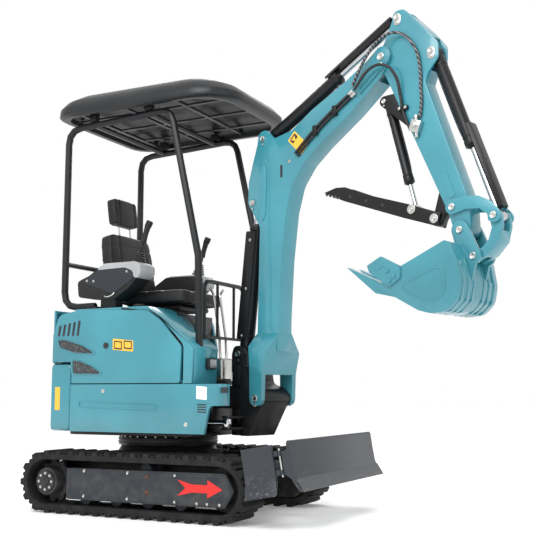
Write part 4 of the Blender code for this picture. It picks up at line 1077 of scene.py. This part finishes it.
class FINISH_OT_seat(bpy.types.Operator):
    """Builds the seat's cushion, back and headrest, with belt and the consoles' trim"""

    bl_idname = "excavator.seat"
    bl_label = "Seat"

    def execute(self, context):
        cushion = padded_block((-0.207, -0.217, 1.137), (0.232, 0.217, 1.205), 0.012)
        for vertex in cushion.data.vertices:
            if vertex.co.z > 1.19:
                wing = max(0.0, abs(vertex.co.y) - 0.135) / 0.08
                vertex.co.z += 0.004 * min(1.0, wing)
        sewn_channel(cushion, 1, (-0.135, 0.135), 2, 0.006, 0.012)
        sewn_channel(cushion, 0, (-0.02, 0.09), 2, 0.004, 0.01)
        finished(cushion, "seat_cushion_vinyl", "vinyl", "house", smooth=60)
        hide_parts("seat_cushion")
        self.back()
        self.headrest()
        self.belt()
        self.consoles()
        return {"FINISHED"}

    def back(self):
        pad = padded_block((-0.04, -0.207, 0.006), (0.038, 0.207, 0.338), 0.01)
        sewn_channel(pad, 1, (-0.13, 0.13), 0, 0.005, 0.012)
        sewn_channel(pad, 2, (0.1, 0.19, 0.27), 0, 0.003, 0.01)
        for vertex in pad.data.vertices:
            if vertex.co.z > 0.22:
                vertex.co.y *= 1 - 0.55 * (vertex.co.z - 0.22)
        pad.data.transform(
            Matrix.Translation((-0.27, 0, 1.225)) @ Matrix.Rotation(math.radians(-10), 4, "Y")
        )
        finished(pad, "seat_back_vinyl", "vinyl", "house", smooth=60)
        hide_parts("seat_back")

    def headrest(self):
        pad = padded_block((-0.03, -0.112, 0.066), (0.03, 0.112, 0.219), 0.008)
        sewn_channel(pad, 1, (-0.075, 0.075), 0, 0.005, 0.012)
        turn = Matrix.Translation((-0.333, 0, 1.572)) @ Matrix.Rotation(math.radians(-8), 4, "Y")
        pad.data.transform(turn)
        finished(pad, "headrest_vinyl", "vinyl", "house", smooth=60)
        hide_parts("headrest")
        stems = both(
            lambda sign: bar((0.0, sign * 0.055, 0.002), (0.0, sign * 0.055, 0.075), 0.006, 16, 0.001)
        )
        stems.data.transform(turn)
        finished(stems, "headrest_stems", "silver", "house")

    def belt(self):
        strap = sweep(
            [
                (-0.17, 0.218, 1.15), (-0.16, 0.226, 1.19), (-0.12, 0.222, 1.226),
                (-0.06, 0.15, 1.2325),
            ],
            0.006,
            4,
        )
        finished(strap, "seat_belt", "plastic", "house")
        buckle = block((-0.075, 0.125, 1.228), (-0.035, 0.165, 1.24), 0.004)
        finished(buckle, "belt_buckle", "silver", "house")

    def consoles(self):
        for side, sign in SIDES:
            face = sign * CONSOLE_FACE_Y
            corners = [(-0.33, 1.255), (-0.12, 1.18), (0.02, 1.262), (0.02, 1.318), (-0.2, 1.33)]
            panel = plate(
                round_points(corners, 0.02), face - sign * 0.001, face + sign * 0.004, bevel=0.0015
            )
            finished(panel, f"{side}_console_cheek", "plates", "house")
            self.console_top(side, sign)
            places = [
                (x, face + sign * 0.004, z)
                for x, z in ((-0.3, 1.262), (-0.255, 1.258), (-0.03, 1.3))
            ]
            bolts(f"{side}_console_screws", places, (0, sign, 0), 0.005, "silver", "house", height=0.004)
            self.joystick(side, sign)
        latch = sweep(
            [
                (-0.175, -0.396, 1.172), (-0.165, -0.41, 1.16), (-0.12, -0.41, 1.16),
                (-0.11, -0.396, 1.185),
            ],
            0.0045,
            4,
        )
        finished(latch, "console_latch", "silver", "house")

    def console_top(self, side, sign):
        """The light cap: a shallow shell over the console's front and top."""
        corners = [
            (-0.23, 1.318), (-0.18, 1.352), (0.03, 1.352), (0.058, 1.338), (0.064, 1.292),
            (0.05, 1.262), (0.02, 1.262), (0.012, 1.3), (-0.04, 1.322),
        ]
        low, high = sorted((sign * 0.262, sign * 0.3985))
        cap = plate(round_points(corners, 0.014, 5), low, high, bevel=0.006)
        finished(cap, f"{side}_console_cap", "console", "house")

    def joystick(self, side, sign):
        """A bellows boot, a neck and a waisted grip that leans forward, with its head tilted on top."""
        y = sign * STICK_Y
        pieces = []
        for index in range(6):
            z = 1.352 + index * 0.0125
            place = Vector((-0.006 + index * 0.003, y, z))
            pieces.append(
                bar(place, place + Vector((0.003, 0, 0.01)), 0.04 - index * 0.0042, 28, 0.004)
            )
        neck = [Vector((0.01, y, 1.425)), Vector((0.022, y, 1.47))]
        pieces.append(bar(neck[0], neck[1], 0.0105, 20, 0.001))
        pieces.append(
            bar(
                neck[1] - Vector((0.002, 0, 0.004)), neck[1] + Vector((0.002, 0, 0.008)), 0.019, 24, 0.003
            )
        )
        pieces.append(self.grip(neck[1], Vector((0.052, y, 1.562))))
        pieces.append(bar((0.049, y, 1.552), (0.066, y, 1.585), 0.0195, 24, 0.006))
        stick = finished(gather(pieces), f"{side}_stick", "plastic", "house")
        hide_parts(f"{side}_joystick")
        button = bar((0.064, y, 1.582), (0.067, y, 1.588), 0.0075, 16, 0.0012)
        finished(button, f"{side}_stick_button", "silver", "house")

    def grip(self, start, end):
        obj = bar(start, end, 0.0175, 24)
        run = end - start
        shares = (0.3, 0.55, 0.8)
        edit(
            obj, *(("bisect", {"plane_co": start.lerp(end, share), "plane_no": run}) for share in shares)
        )
        for vertex in obj.data.vertices:
            along = (vertex.co - start).dot(run) / run.length_squared
            axis = start + run * along
            vertex.co = axis + (vertex.co - axis) * (0.86 + 0.75 * (along - 0.45) ** 2)
        return obj


# ---------------------------------------------------------------- canopy


class FINISH_OT_canopy(bpy.types.Operator):
    """Adds the roof's rim bead, underside ribs and mounts"""

    bl_idname = "excavator.canopy"
    bl_label = "Canopy"

    def execute(self, context):
        corners = [(-0.475, -0.37), (0.5, -0.34), (0.5, 0.34), (-0.475, 0.37)]
        rim = [(point.x, point.y, ROOF_BEAD_Z) for point in round_points(corners, 0.16, 8)]
        strip = sweep(rim + rim[:1], 0.0065, 3, False)
        finished(strip, "roof_panel_bead", "roof", "house", smooth=60)
        under = []
        for x in (-0.38, -0.08, 0.25):
            under.append(block((x - 0.012, -0.395, 2.232), (x + 0.012, 0.395, 2.246), 0.002))
        for y in (-0.25, 0.0, 0.25):
            under.append(block((-0.48, y - 0.012, 2.234), (0.52, y + 0.012, 2.2445), 0.002))
        finished(gather(under), "roof_ribs", "roof", "house")
        places = [(x, sign * 0.364, z) for sign in (-1, 1) for x, z in ((-0.3, 2.1875), (0.08, 2.2045))]
        pads = [
            block((x - 0.022, y - 0.02, z - 0.002), (x + 0.022, y + 0.02, 2.246), 0.003)
            for x, y, z in places
        ]
        finished(gather(pads), "roof_mounts", "post", "house")
        return {"FINISHED"}


# ---------------------------------------------------------------- boom and arm


def in_plane(u, z, v=0.0):
    return Vector((u, v, z))


def upward(along):
    """The direction square to a line in the boom's plane, on its upper or front side."""
    out = along.cross(Vector((0, 1, 0)))
    return -out if out.dot(Vector((0.5, 0, 1.0))) < 0 else out


class FINISH_OT_boom(bpy.types.Operator):
    """Adds the boom's pins, pads, label and hoses, and the trim of the cylinders"""

    bl_idname = "excavator.boom"
    bl_label = "Boom"

    def execute(self, context):
        self.pins()
        self.collars()
        self.rod_guards()
        self.label()
        self.guard()
        self.hoses(context.scene.excavator_trim.hose_radius)
        return {"FINISHED"}

    def pins(self):
        def pair(name, u, z, reach, radius, body, out=0.009, flagged=False):
            drop = z - radius * 1.9
            pieces = [pin_cap((u, sign * reach, z), sign, radius, out) for sign in (-1, 1)]
            for sign in (-1, 1):
                ends = (u, sign * reach, drop), (u, sign * (reach + out * 0.7), drop)
                pieces.append(bar(*ends, radius * 0.42, 6, 0.0008))
            if flagged:
                shape = ((-1.0, -2.7), (1.0, -2.7), (1.5, 0.2), (0.0, 1.5), (-1.5, 0.2))
                outline = round_points([(u + radius * a, z + radius * b) for a, b in shape], radius, 5)
                for sign in (-1, 1):
                    pieces.append(plate(outline, sign * reach, sign * (reach + 0.003), bevel=0.0008))
            finished(gather(pieces), name, "silver", body, SWING)

        pair("foot_pins", *FOOT_PIN, 0.1376, 0.019, "boom")
        pair("boom_cylinder_rod_pins", *CYLINDERS["boom"][1], 0.055, 0.018, "boom")
        pair("arm_cylinder_base_pins", *CYLINDERS["arm"][0], 0.055, 0.016, "boom")
        pair("arm_pivot_pins", *ARM_PIVOT, 0.0664, 0.02, "boom")
        pair("arm_cylinder_rod_pins", *CYLINDERS["arm"][1], 0.0475, 0.016, "arm", flagged=True)
        pair("bucket_cylinder_base_pins", *CYLINDERS["bucket"][0], 0.0475, 0.016, "arm", flagged=True)
        pair("thumb_cylinder_base_pins", *CYLINDERS["thumb"][0], 0.04, 0.012, "arm", 0.007)
        pair("boom_cylinder_base_pins", *CYLINDERS["boom"][0], 0.064, 0.018, "swing_post")
        for name, (u, z), low, high, radius in (
            ("foot_bosses", FOOT_PIN, 0.1365, 0.1382, 0.034),
            ("arm_pivot_bosses", ARM_PIVOT, 0.066, 0.0685, 0.04),
        ):
            bosses = [bar((u, sign * low, z), (u, sign * high, z), radius, 32, 0.001) for sign in (-1, 1)]
            teal(gather(bosses), name, "boom", SWING)

    def collars(self):
        rows = (
            ("boom", 0.715, 0.04, 0.02, 1),
            ("arm", 0.56, 0.035, 0.018, -1),
            ("bucket", 0.525, 0.03, 0.016, -1),
            ("thumb", 0.44, 0.024, 0.012, 1),
        )
        for lever, length, outer, rod, pipe_side in rows:
            name = f"{lever}_cylinder"
            base, pin = (in_plane(*place) for place in CYLINDERS[lever])
            along = (pin - base).normalized()
            up = upward(along) * pipe_side
            starts = [base + along * length * share for share in (0.13, 0.9)]
            rings = [bar(start, start + along * 0.012, outer * 1.055, 36, 0.002) for start in starts]
            finished(gather(rings), f"{name}_bands", "black", f"{name}_barrel", SWING, smooth=40)
            lift = outer + 0.004
            shape = ((0.12, outer * 0.9), (0.16, lift), (0.5, lift), (0.84, lift), (0.9, outer * 0.9))
            line = [base + along * length * share + up * rise for share, rise in shape]
            finished(sweep(line, 0.0045, 4), f"{name}_pipe", "black", f"{name}_barrel", SWING)
            wiper = bar(
                base + along * (length - 0.001), base + along * (length + 0.006), outer * 0.8, 36, 0.002
            )
            bore = bar(base + along * (length - 0.02), base + along * (length + 0.03), rod + 0.0008, 36)
            wiper = cutting(wiper, bore)
            finished(wiper, f"{name}_wiper", "plastic", f"{name}_barrel", SWING)

    def rod_guards(self):
        """Folded guards on the rods' ends that slide over their barrels."""
        rows = (
            ("arm", 0.04, 0.47, 0.0415),
            ("bucket", 0.035, 0.44, 0.0365),
        )
        for lever, start, length, lift in rows:
            name = f"{lever}_cylinder"
            base, pin = (in_plane(*place) for place in CYLINDERS[lever])
            along = (base - pin).normalized()
            out = upward(along)
            section = [
                (-0.034, lift - 0.016), (-0.026, lift), (0.026, lift), (0.034, lift - 0.016),
                (0.038, lift - 0.014), (0.029, lift + 0.005), (-0.029, lift + 0.005),
                (-0.038, lift - 0.014),
            ]
            sheet = plate(section, start, start + length, "XY", bevel=0.001)
            stay = block((-0.01, 0.0, start), (0.01, lift + 0.002, start + 0.018), 0.002)
            turn = Matrix((Vector((0, 1, 0)), out, along)).transposed().to_4x4()
            for piece in (sheet, stay):
                piece.data.transform(Matrix.Translation(pin) @ turn)
            finished(gather([sheet, stay]), f"{name}_rod_guard", "black", f"{name}_rod", SWING)

    def label(self):
        sheet = round_points([(0.362, 1.986), (0.409, 2.033), (0.502, 1.94), (0.455, 1.893)], 0.006)
        inner = round_points([(0.375, 1.986), (0.409, 2.02), (0.432, 1.997), (0.398, 1.963)], 0.006)
        triangle = [(0.386, 1.985), (0.409, 2.008), (0.417, 1.977)]
        # The hose slot is a dark plate: painted shade of the opening in the boom.
        slot = round_points([(0.306, 1.862), (0.322, 1.862), (0.322, 1.792), (0.306, 1.792)], 0.007)
        for name, outline, low, high, finish in (
            ("boom_label", sheet, -0.056, BOOM_FACE_V, "amber"),
            ("boom_label_panel", inner, -0.0565, -0.0555, "ink_and_painted_shade"),
            ("boom_label_mark", triangle, -0.0568, -0.056, "amber"),
            ("boom_hose_slot_painted_shade", slot, -0.0556, BOOM_FACE_V, "ink_and_painted_shade"),
        ):
            finished(plate(outline, low, high), name, finish, "boom", SWING)
        plug = bar((0.372, -0.054, 1.872), (0.372, -0.059, 1.872), 0.01, 20, 0.0015)
        finished(plug, "boom_plug", "silver", "boom", SWING)
        pad = [
            (0.15, 1.64), (0.172, 1.56), (0.2, 1.6), (0.21, 1.86), (0.185, 1.9), (0.155, 1.86)
        ]
        teal(
            plate(round_points(pad, 0.02), -0.06, BOOM_FACE_V, bevel=0.002), "boom_side_pad", "boom",
            SWING,
        )

    def guard(self):
        outline = round_points([(-0.036, 0.93), (0.036, 0.93), (0.036, 1.53), (-0.036, 1.53)], 0.012)
        base, pin = (in_plane(*place) for place in CYLINDERS["boom"])
        lean = Matrix.Translation(base)
        lean = lean @ Matrix.Rotation(math.atan2(pin.x - base.x, pin.z - base.z), 4, "Y")
        cover = plate([(p.x, p.y - 0.851) for p in outline], -0.0525, -0.0455, bevel=0.0015)
        cover.data.transform(lean)
        finished(cover, "boom_cylinder_guard", "black", "boom_cylinder_barrel", SWING)
        heights = (0.1, 0.36, 0.63)
        places = [lean @ Vector((0, -0.0522, z)) for z in heights]
        bolts(
            "boom_guard_bolts", places, (0, -1, 0), 0.0065, "silver", "boom_cylinder_barrel", SWING,
            height=0.005,
        )
        posts = gather([bar((0, -0.046, z), (0, -0.03, z), 0.012, 12) for z in heights])
        posts.data.transform(lean)
        finished(posts, "boom_guard_stays", "black", "boom_cylinder_barrel", SWING)

    def hoses(self, radius):
        for index in range(2):
            drop = 0.01 * index
            route = [
                (0.245, 0.96), (0.215, 1.08), (0.228, 1.3), (0.246, 1.52), (0.262, 1.68),
                (0.322, 1.83), (0.42, 1.945), (0.56, 2.02), (0.7, 2.105),
            ]
            line = [in_plane(u - drop, z + drop, 0.0635 + 0.017 * index) for u, z in route]
            finished(sweep(line, radius, 4), f"boom_hose_left_{index}", "hose", "boom", SWING)
        for index in range(2):
            drop = 0.016 * index
            route = [(0.42, 1.905), (0.5, 1.975), (0.62, 2.06), (0.72, 2.115), (0.78, 2.15)]
            line = [in_plane(u + drop, z - drop, -0.064) for u, z in route]
            finished(sweep(line, radius, 4), f"boom_hose_right_{index}", "hose", "boom", SWING)
            fitting = bar(
                line[-1], line[-1] + (line[-1] - line[-2]).normalized() * 0.03, radius * 1.35, 6, 0.001
            )
            finished(fitting, f"boom_hose_fitting_{index}", "silver", "boom", SWING)
        places = ((0.56, 2.01), (0.69, 2.09))
        clips = [
            block((u - 0.014, -0.076, z - 0.034), (u + 0.014, BOOM_FACE_V, z + 0.02), 0.004)
            for u, z in places
        ]
        finished(gather(clips), "boom_hose_clips", "black", "boom", SWING)


class FINISH_OT_arm(bpy.types.Operator):
    """Adds the arm's hoses, valve block, clamp, side pad and the thumb's keepers"""

    bl_idname = "excavator.arm"
    bl_label = "Arm and Thumb"

    def execute(self, context):
        radius = context.scene.excavator_trim.hose_radius
        self.crossing(radius)
        self.valve(radius)
        self.thumb()
        return {"FINISHED"}

    def crossing(self, radius):
        """Two hoses loop over the arm's pivot, from the boom's fittings to the arm's."""
        routes = (
            [
                (0.815, 2.18, -0.078), (0.85, 2.225, -0.088), (0.905, 2.3, -0.092),
                (0.975, 2.372, -0.088), (1.055, 2.4, -0.08), (1.13, 2.37, -0.07),
                (1.185, 2.29, -0.062), (1.205, 2.19, -0.058), (1.205, 2.09, -0.057),
            ],
            [
                (0.83, 2.16, -0.082), (0.872, 2.195, -0.092), (0.925, 2.235, -0.096),
                (0.985, 2.25, -0.094), (1.045, 2.225, -0.086), (1.08, 2.16, -0.072),
                (1.09, 2.08, -0.06), (1.105, 1.99, -0.057), (1.14, 1.9, -0.057),
            ],
        )
        for index, route in enumerate(routes):
            line = through([in_plane(u, z, v) for u, z, v in route])
            finish = "spiral" if index == 0 else "hose"
            hose = finished(sweep(line, radius, 4, False), f"joint_hose_{index}", finish, None, SWING)
            path = [SWING @ point for point in line]
            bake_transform(hose)
            length = sum((b - a).length for a, b in zip(path, path[1:]))

    def valve(self, radius):
        body = block((1.15, -0.078, 1.875), (1.205, -0.0475, 1.935), 0.004)
        lugs = [
            bar((1.178, -0.06, z), (1.178, -0.06, z + 0.03), 0.011, 6, 0.001)
            for z in (1.93, 1.85)
        ]
        body.data.transform(
            Matrix.Translation((1.178, 0, 1.905)) @ Matrix.Rotation(
                math.radians(22), 4, "Y"
            ) @ Matrix.Translation((-1.178, 0, -1.905))
        )
        finished(gather([body] + lugs), "arm_valve_block", "silver", "arm", SWING)
        knob = bar((1.178, -0.076, 1.905), (1.178, -0.092, 1.905), 0.014, 24, 0.003)
        finished(knob, "arm_valve_knob", "silver", "arm", SWING)
        line = [
            in_plane(1.205, 2.09, -0.057), in_plane(1.214, 2.02, -0.057), in_plane(1.196, 1.945, -0.058)
        ]
        finished(sweep(line, radius, 4), "arm_hose", "spiral", "arm", SWING)
        clamp = block((1.075, -0.066, 2.0), (1.13, -0.0475, 2.022), 0.003)
        finished(clamp, "arm_hose_clamp", "black", "arm", SWING)
        bolts(
            "arm_clamp_bolts", [(1.085, -0.066, 2.011), (1.12, -0.066, 2.011)], (0, -1, 0), 0.0055,
            "silver", "arm", SWING, height=0.004,
        )
        rib = plate(
            round_points([(1.3, 1.65), (1.345, 1.53), (1.372, 1.545), (1.33, 1.662)], 0.008),
            -0.0492, -0.047,
        )
        teal(rib, "arm_side_pad", "arm", SWING)
        for name, (u, z) in (("rocker_pins", ROCKER_PIN), ("link_top_pins", CYLINDERS["bucket"][1])):
            caps = [pin_cap((u, sign * 0.0665, z), sign, 0.016, 0.008) for sign in (-1, 1)]
            finished(gather(caps), name, "silver", "bucket_rockers", SWING)

    def thumb(self):
        pivot, tip = in_plane(1.257, 1.451), in_plane(0.6, 1.682)
        run = tip - pivot
        pieces = []
        for u, z in ((1.128, 1.512), (1.252, 1.452)):
            flag = [
                (u - 0.025, z - 0.006), (u - 0.006, z - 0.028), (u + 0.022, z - 0.016),
                (u + 0.024, z + 0.008), (u + 0.002, z + 0.024), (u - 0.018, z + 0.016),
            ]
            for side in (-1, 1):
                pieces.append(
                    plate(round_points(flag, 0.02, 5), side * 0.0412, side * 0.0455, bevel=0.001)
                )
                pieces.append(pin_cap((u, side * 0.045, z - 0.004), side, 0.0095, 0.004))
        finished(gather(pieces), "thumb_keepers", "silver", "thumb", SWING)
        # The holes are dark discs: painted shade of the openings.
        holes = []
        for share in (0.45, 0.6, 0.75):
            centre = pivot + run * share
            holes.append(plate(ring_points((centre.x, centre.z), 0.009, 20), -0.042, -0.041))
        finished(gather(holes), "thumb_hole_painted_shade", "ink_and_painted_shade", "thumb", SWING)


class FINISH_OT_bucket(bpy.types.Operator):
    """Adds the bucket's ribs, side cutters, embossed panels and pins"""

    bl_idname = "excavator.bucket"
    bl_label = "Bucket"

    def execute(self, context):
        self.ribs()
        self.cutters()
        self.emboss()
        caps = [
            pin_cap((u, sign * 0.0685, z), sign, 0.016, 0.008)
            for sign in (-1, 1) for u, z in ((1.401, 1.376), (1.466, 1.25))
        ]
        finished(gather(caps), "bucket_pins", "silver", "bucket", SWING)
        return {"FINISHED"}

    def ribs(self):
        outline = [(1.3, 0.9935), (1.386, 0.9985), (1.4425, 1.049), (1.4585, 1.13), (1.4425, 1.228),
                   (1.4385, 1.228), (1.452, 1.13), (1.438, 1.054), (1.384, 1.005), (1.3, 1.001)]
        ribs = []
        for index in range(7):
            v = -0.138 + 0.046 * index
            if abs(v) > 0.04:
                ribs.append(plate(outline, v - 0.009, v + 0.009, bevel=0.0012))
        teal(gather(ribs), "bucket_wear_ribs", "bucket", SWING)

    def cutters(self):
        for side, sign in SIDES:
            places = [(u, sign * 0.1852, z) for u, z in ((1.118, 1.178), (1.08, 1.205), (1.09, 1.155))]
            bolts(
                f"cutter_bolts_{side}", places, (0, sign, 0), 0.0115, "body", "bucket", SWING,
                height=0.008,
            )
            outline = round_points(
                [(1.0, 1.232), (1.05, 1.252), (1.06, 1.225), (1.012, 1.205)], 0.014, 5
            )
            outer = plate(outline, sign * 0.1845, sign * 0.1872, bevel=0.001)
            teal(outer, f"cutter_pad_{side}", "bucket", SWING)

    def emboss(self):
        corners = [
            (1.13, 1.128), (1.222, 1.165), (1.352, 1.208), (1.38, 1.185), (1.384, 1.09),
            (1.34, 1.054), (1.285, 1.045), (1.225, 1.068),
        ]
        outline = round_points(corners, 0.03, 5)
        inner = scaled(outline, 0.9, 0.9)
        for side, sign in SIDES:
            rim = plate(outline, sign * 0.1695, sign * 0.1722, bevel=0.0008)
            rim = cutting(rim, plate(inner, sign * 0.16, sign * 0.18))
            teal(rim, f"bucket_panel_{side}", "bucket", SWING)


class FINISH_OT_post(bpy.types.Operator):
    """Adds the swing post's pins and the hoses at the front of the house"""

    bl_idname = "excavator.post"
    bl_label = "Swing Post"

    def execute(self, context):
        radius = context.scene.excavator_trim.hose_radius
        cap = bar((0, 0, 0.784), (0, 0, 0.794), 0.046, 36, 0.003)
        finished(cap, "swing_pin_cap", "silver", "swing_post", SWING)
        bolts(
            "swing_pin_bolts",
            [(0.03 * math.cos(a), 0.03 * math.sin(a), 0.793) for a in (0.5, 2.6, 4.7)], (0, 0, 1),
            0.006, "silver", "swing_post", SWING, height=0.005,
        )
        for index in range(4):
            y = -0.17 + 0.022 * index
            line = [
                (0.3, y * 0.55, 0.69), (0.345, y * 0.6, 0.73), (0.39, y * 0.7, 0.722),
                (0.41, y * 0.72, 0.66), (0.395, y * 0.72, 0.6),
            ]
            finished(sweep(line, radius * 0.9, 4), f"front_hose_{index}", "hose", "house")
        eye = bar((0.05, -0.19, 0.4445), (0.05, -0.19, 0.5195), 0.015, 24, 0.002)
        finished(eye, "swing_cylinder_pin", "silver", "swing_post", SWING)
        return {"FINISHED"}


# ---------------------------------------------------------------- stage


class FINISH_OT_stage(bpy.types.Operator):
    """Lays the pale floor, hangs the soft lights and sets the camera"""

    bl_idname = "excavator.stage"
    bl_label = "Stage"

    def execute(self, context):
        stage = context.scene.excavator_stage
        deselect()
        bpy.ops.mesh.primitive_plane_add(size=60, location=(0, 0, -0.0005))
        floor = settle(bpy.context.active_object)
        floor.name = "floor"
        bench = Bench("plain floor")
        colour = tuple(stage.floor)
        tone = bench.span(bench.noise(0.6, 2.0), 0.3, 0.7)
        bench.feed("Base Color", bench.mix(tone, colour, shade(colour, 0.985)))
        bench.feed("Roughness", 0.85)
        bench.feed("Emission Color", (1.0, 1.0, 1.0))
        bench.feed("Emission Strength", FLOOR_GLOW)
        floor.data.materials.append(bench.material)
        world = bpy.data.worlds.new("soft room")
        context.scene.world = world
        world.use_nodes = True
        background = world.node_tree.nodes["Background"]
        background.inputs[0].default_value = (1.0, 1.0, 1.0, 1.0)
        background.inputs[1].default_value = 1.0
        self.light("key", (0.2, -4.2, 4.6), (-0.1, 0, 1.0), 3.2, stage.key_power)
        self.light("fill", (4.6, -1.2, 2.6), (0.2, 0, 1.0), 2.6, stage.key_power * 0.12)
        self.light("rim", (-2.6, 3.6, 3.8), (0, 0, 1.3), 2.4, stage.key_power * 0.45)
        camera = bpy.data.cameras.new("camera")
        camera.lens = stage.lens
        camera.sensor_width = SENSOR_WIDTH
        obj = linked("camera", camera)
        obj.location = CAMERA_PLACE
        obj.rotation_euler = CAMERA_TURN
        context.scene.camera = obj
        context.scene.view_settings.view_transform = "Standard"
        return {"FINISHED"}

    def light(self, name, place, target, size, power):
        data = bpy.data.lights.new(name, "AREA")
        data.shape = "DISK"
        data.size = size
        data.energy = power
        obj = linked(name, data)
        obj.location = place
        obj.rotation_euler = (Vector(target) - Vector(place)).to_track_quat("-Z", "Y").to_euler()


class VIEW3D_PT_excavator(bpy.types.Panel):
    """The machine's pieces, in the order they are built"""

    bl_label = "Excavator"
    bl_space_type = "VIEW_3D"
    bl_region_type = "UI"
    bl_category = "Excavator"

    def draw(self, context):
        for group in ("excavator_paint", "excavator_trim", "excavator_stage"):
            settings = getattr(context.scene, group)
            for name in settings.__annotations__:
                self.layout.prop(settings, name)
        for operator in OPERATORS:
            self.layout.operator(operator.bl_idname)


OPERATORS = (
    FINISH_OT_plates,
    FINISH_OT_tracks,
    FINISH_OT_slew,
    FINISH_OT_blade,
    FINISH_OT_house,
    FINISH_OT_seat,
    FINISH_OT_canopy,
    FINISH_OT_post,
    FINISH_OT_boom,
    FINISH_OT_arm,
    FINISH_OT_bucket,
    FINISH_OT_stage,
)
GROUPS = (MachinePaint, MachineTrim, MachineStage)
FINISHES = {}


def register():
    for group in GROUPS + OPERATORS + (VIEW3D_PT_excavator,):
        bpy.utils.register_class(group)
    bpy.types.Scene.excavator_paint = bpy.props.PointerProperty(type=MachinePaint)
    bpy.types.Scene.excavator_trim = bpy.props.PointerProperty(type=MachineTrim)
    bpy.types.Scene.excavator_stage = bpy.props.PointerProperty(type=MachineStage)


def unregister():
    del bpy.types.Scene.excavator_stage
    del bpy.types.Scene.excavator_trim
    del bpy.types.Scene.excavator_paint
    for group in reversed(GROUPS + OPERATORS + (VIEW3D_PT_excavator,)):
        bpy.utils.unregister_class(group)


def main():
    register()
    FINISHES.update(make_finishes(bpy.context.scene.excavator_paint))
    for operator in OPERATORS:
        group, name = operator.bl_idname.split(".")
        getattr(getattr(bpy.ops, group), name)()


if __name__ == "__main__":
    main()
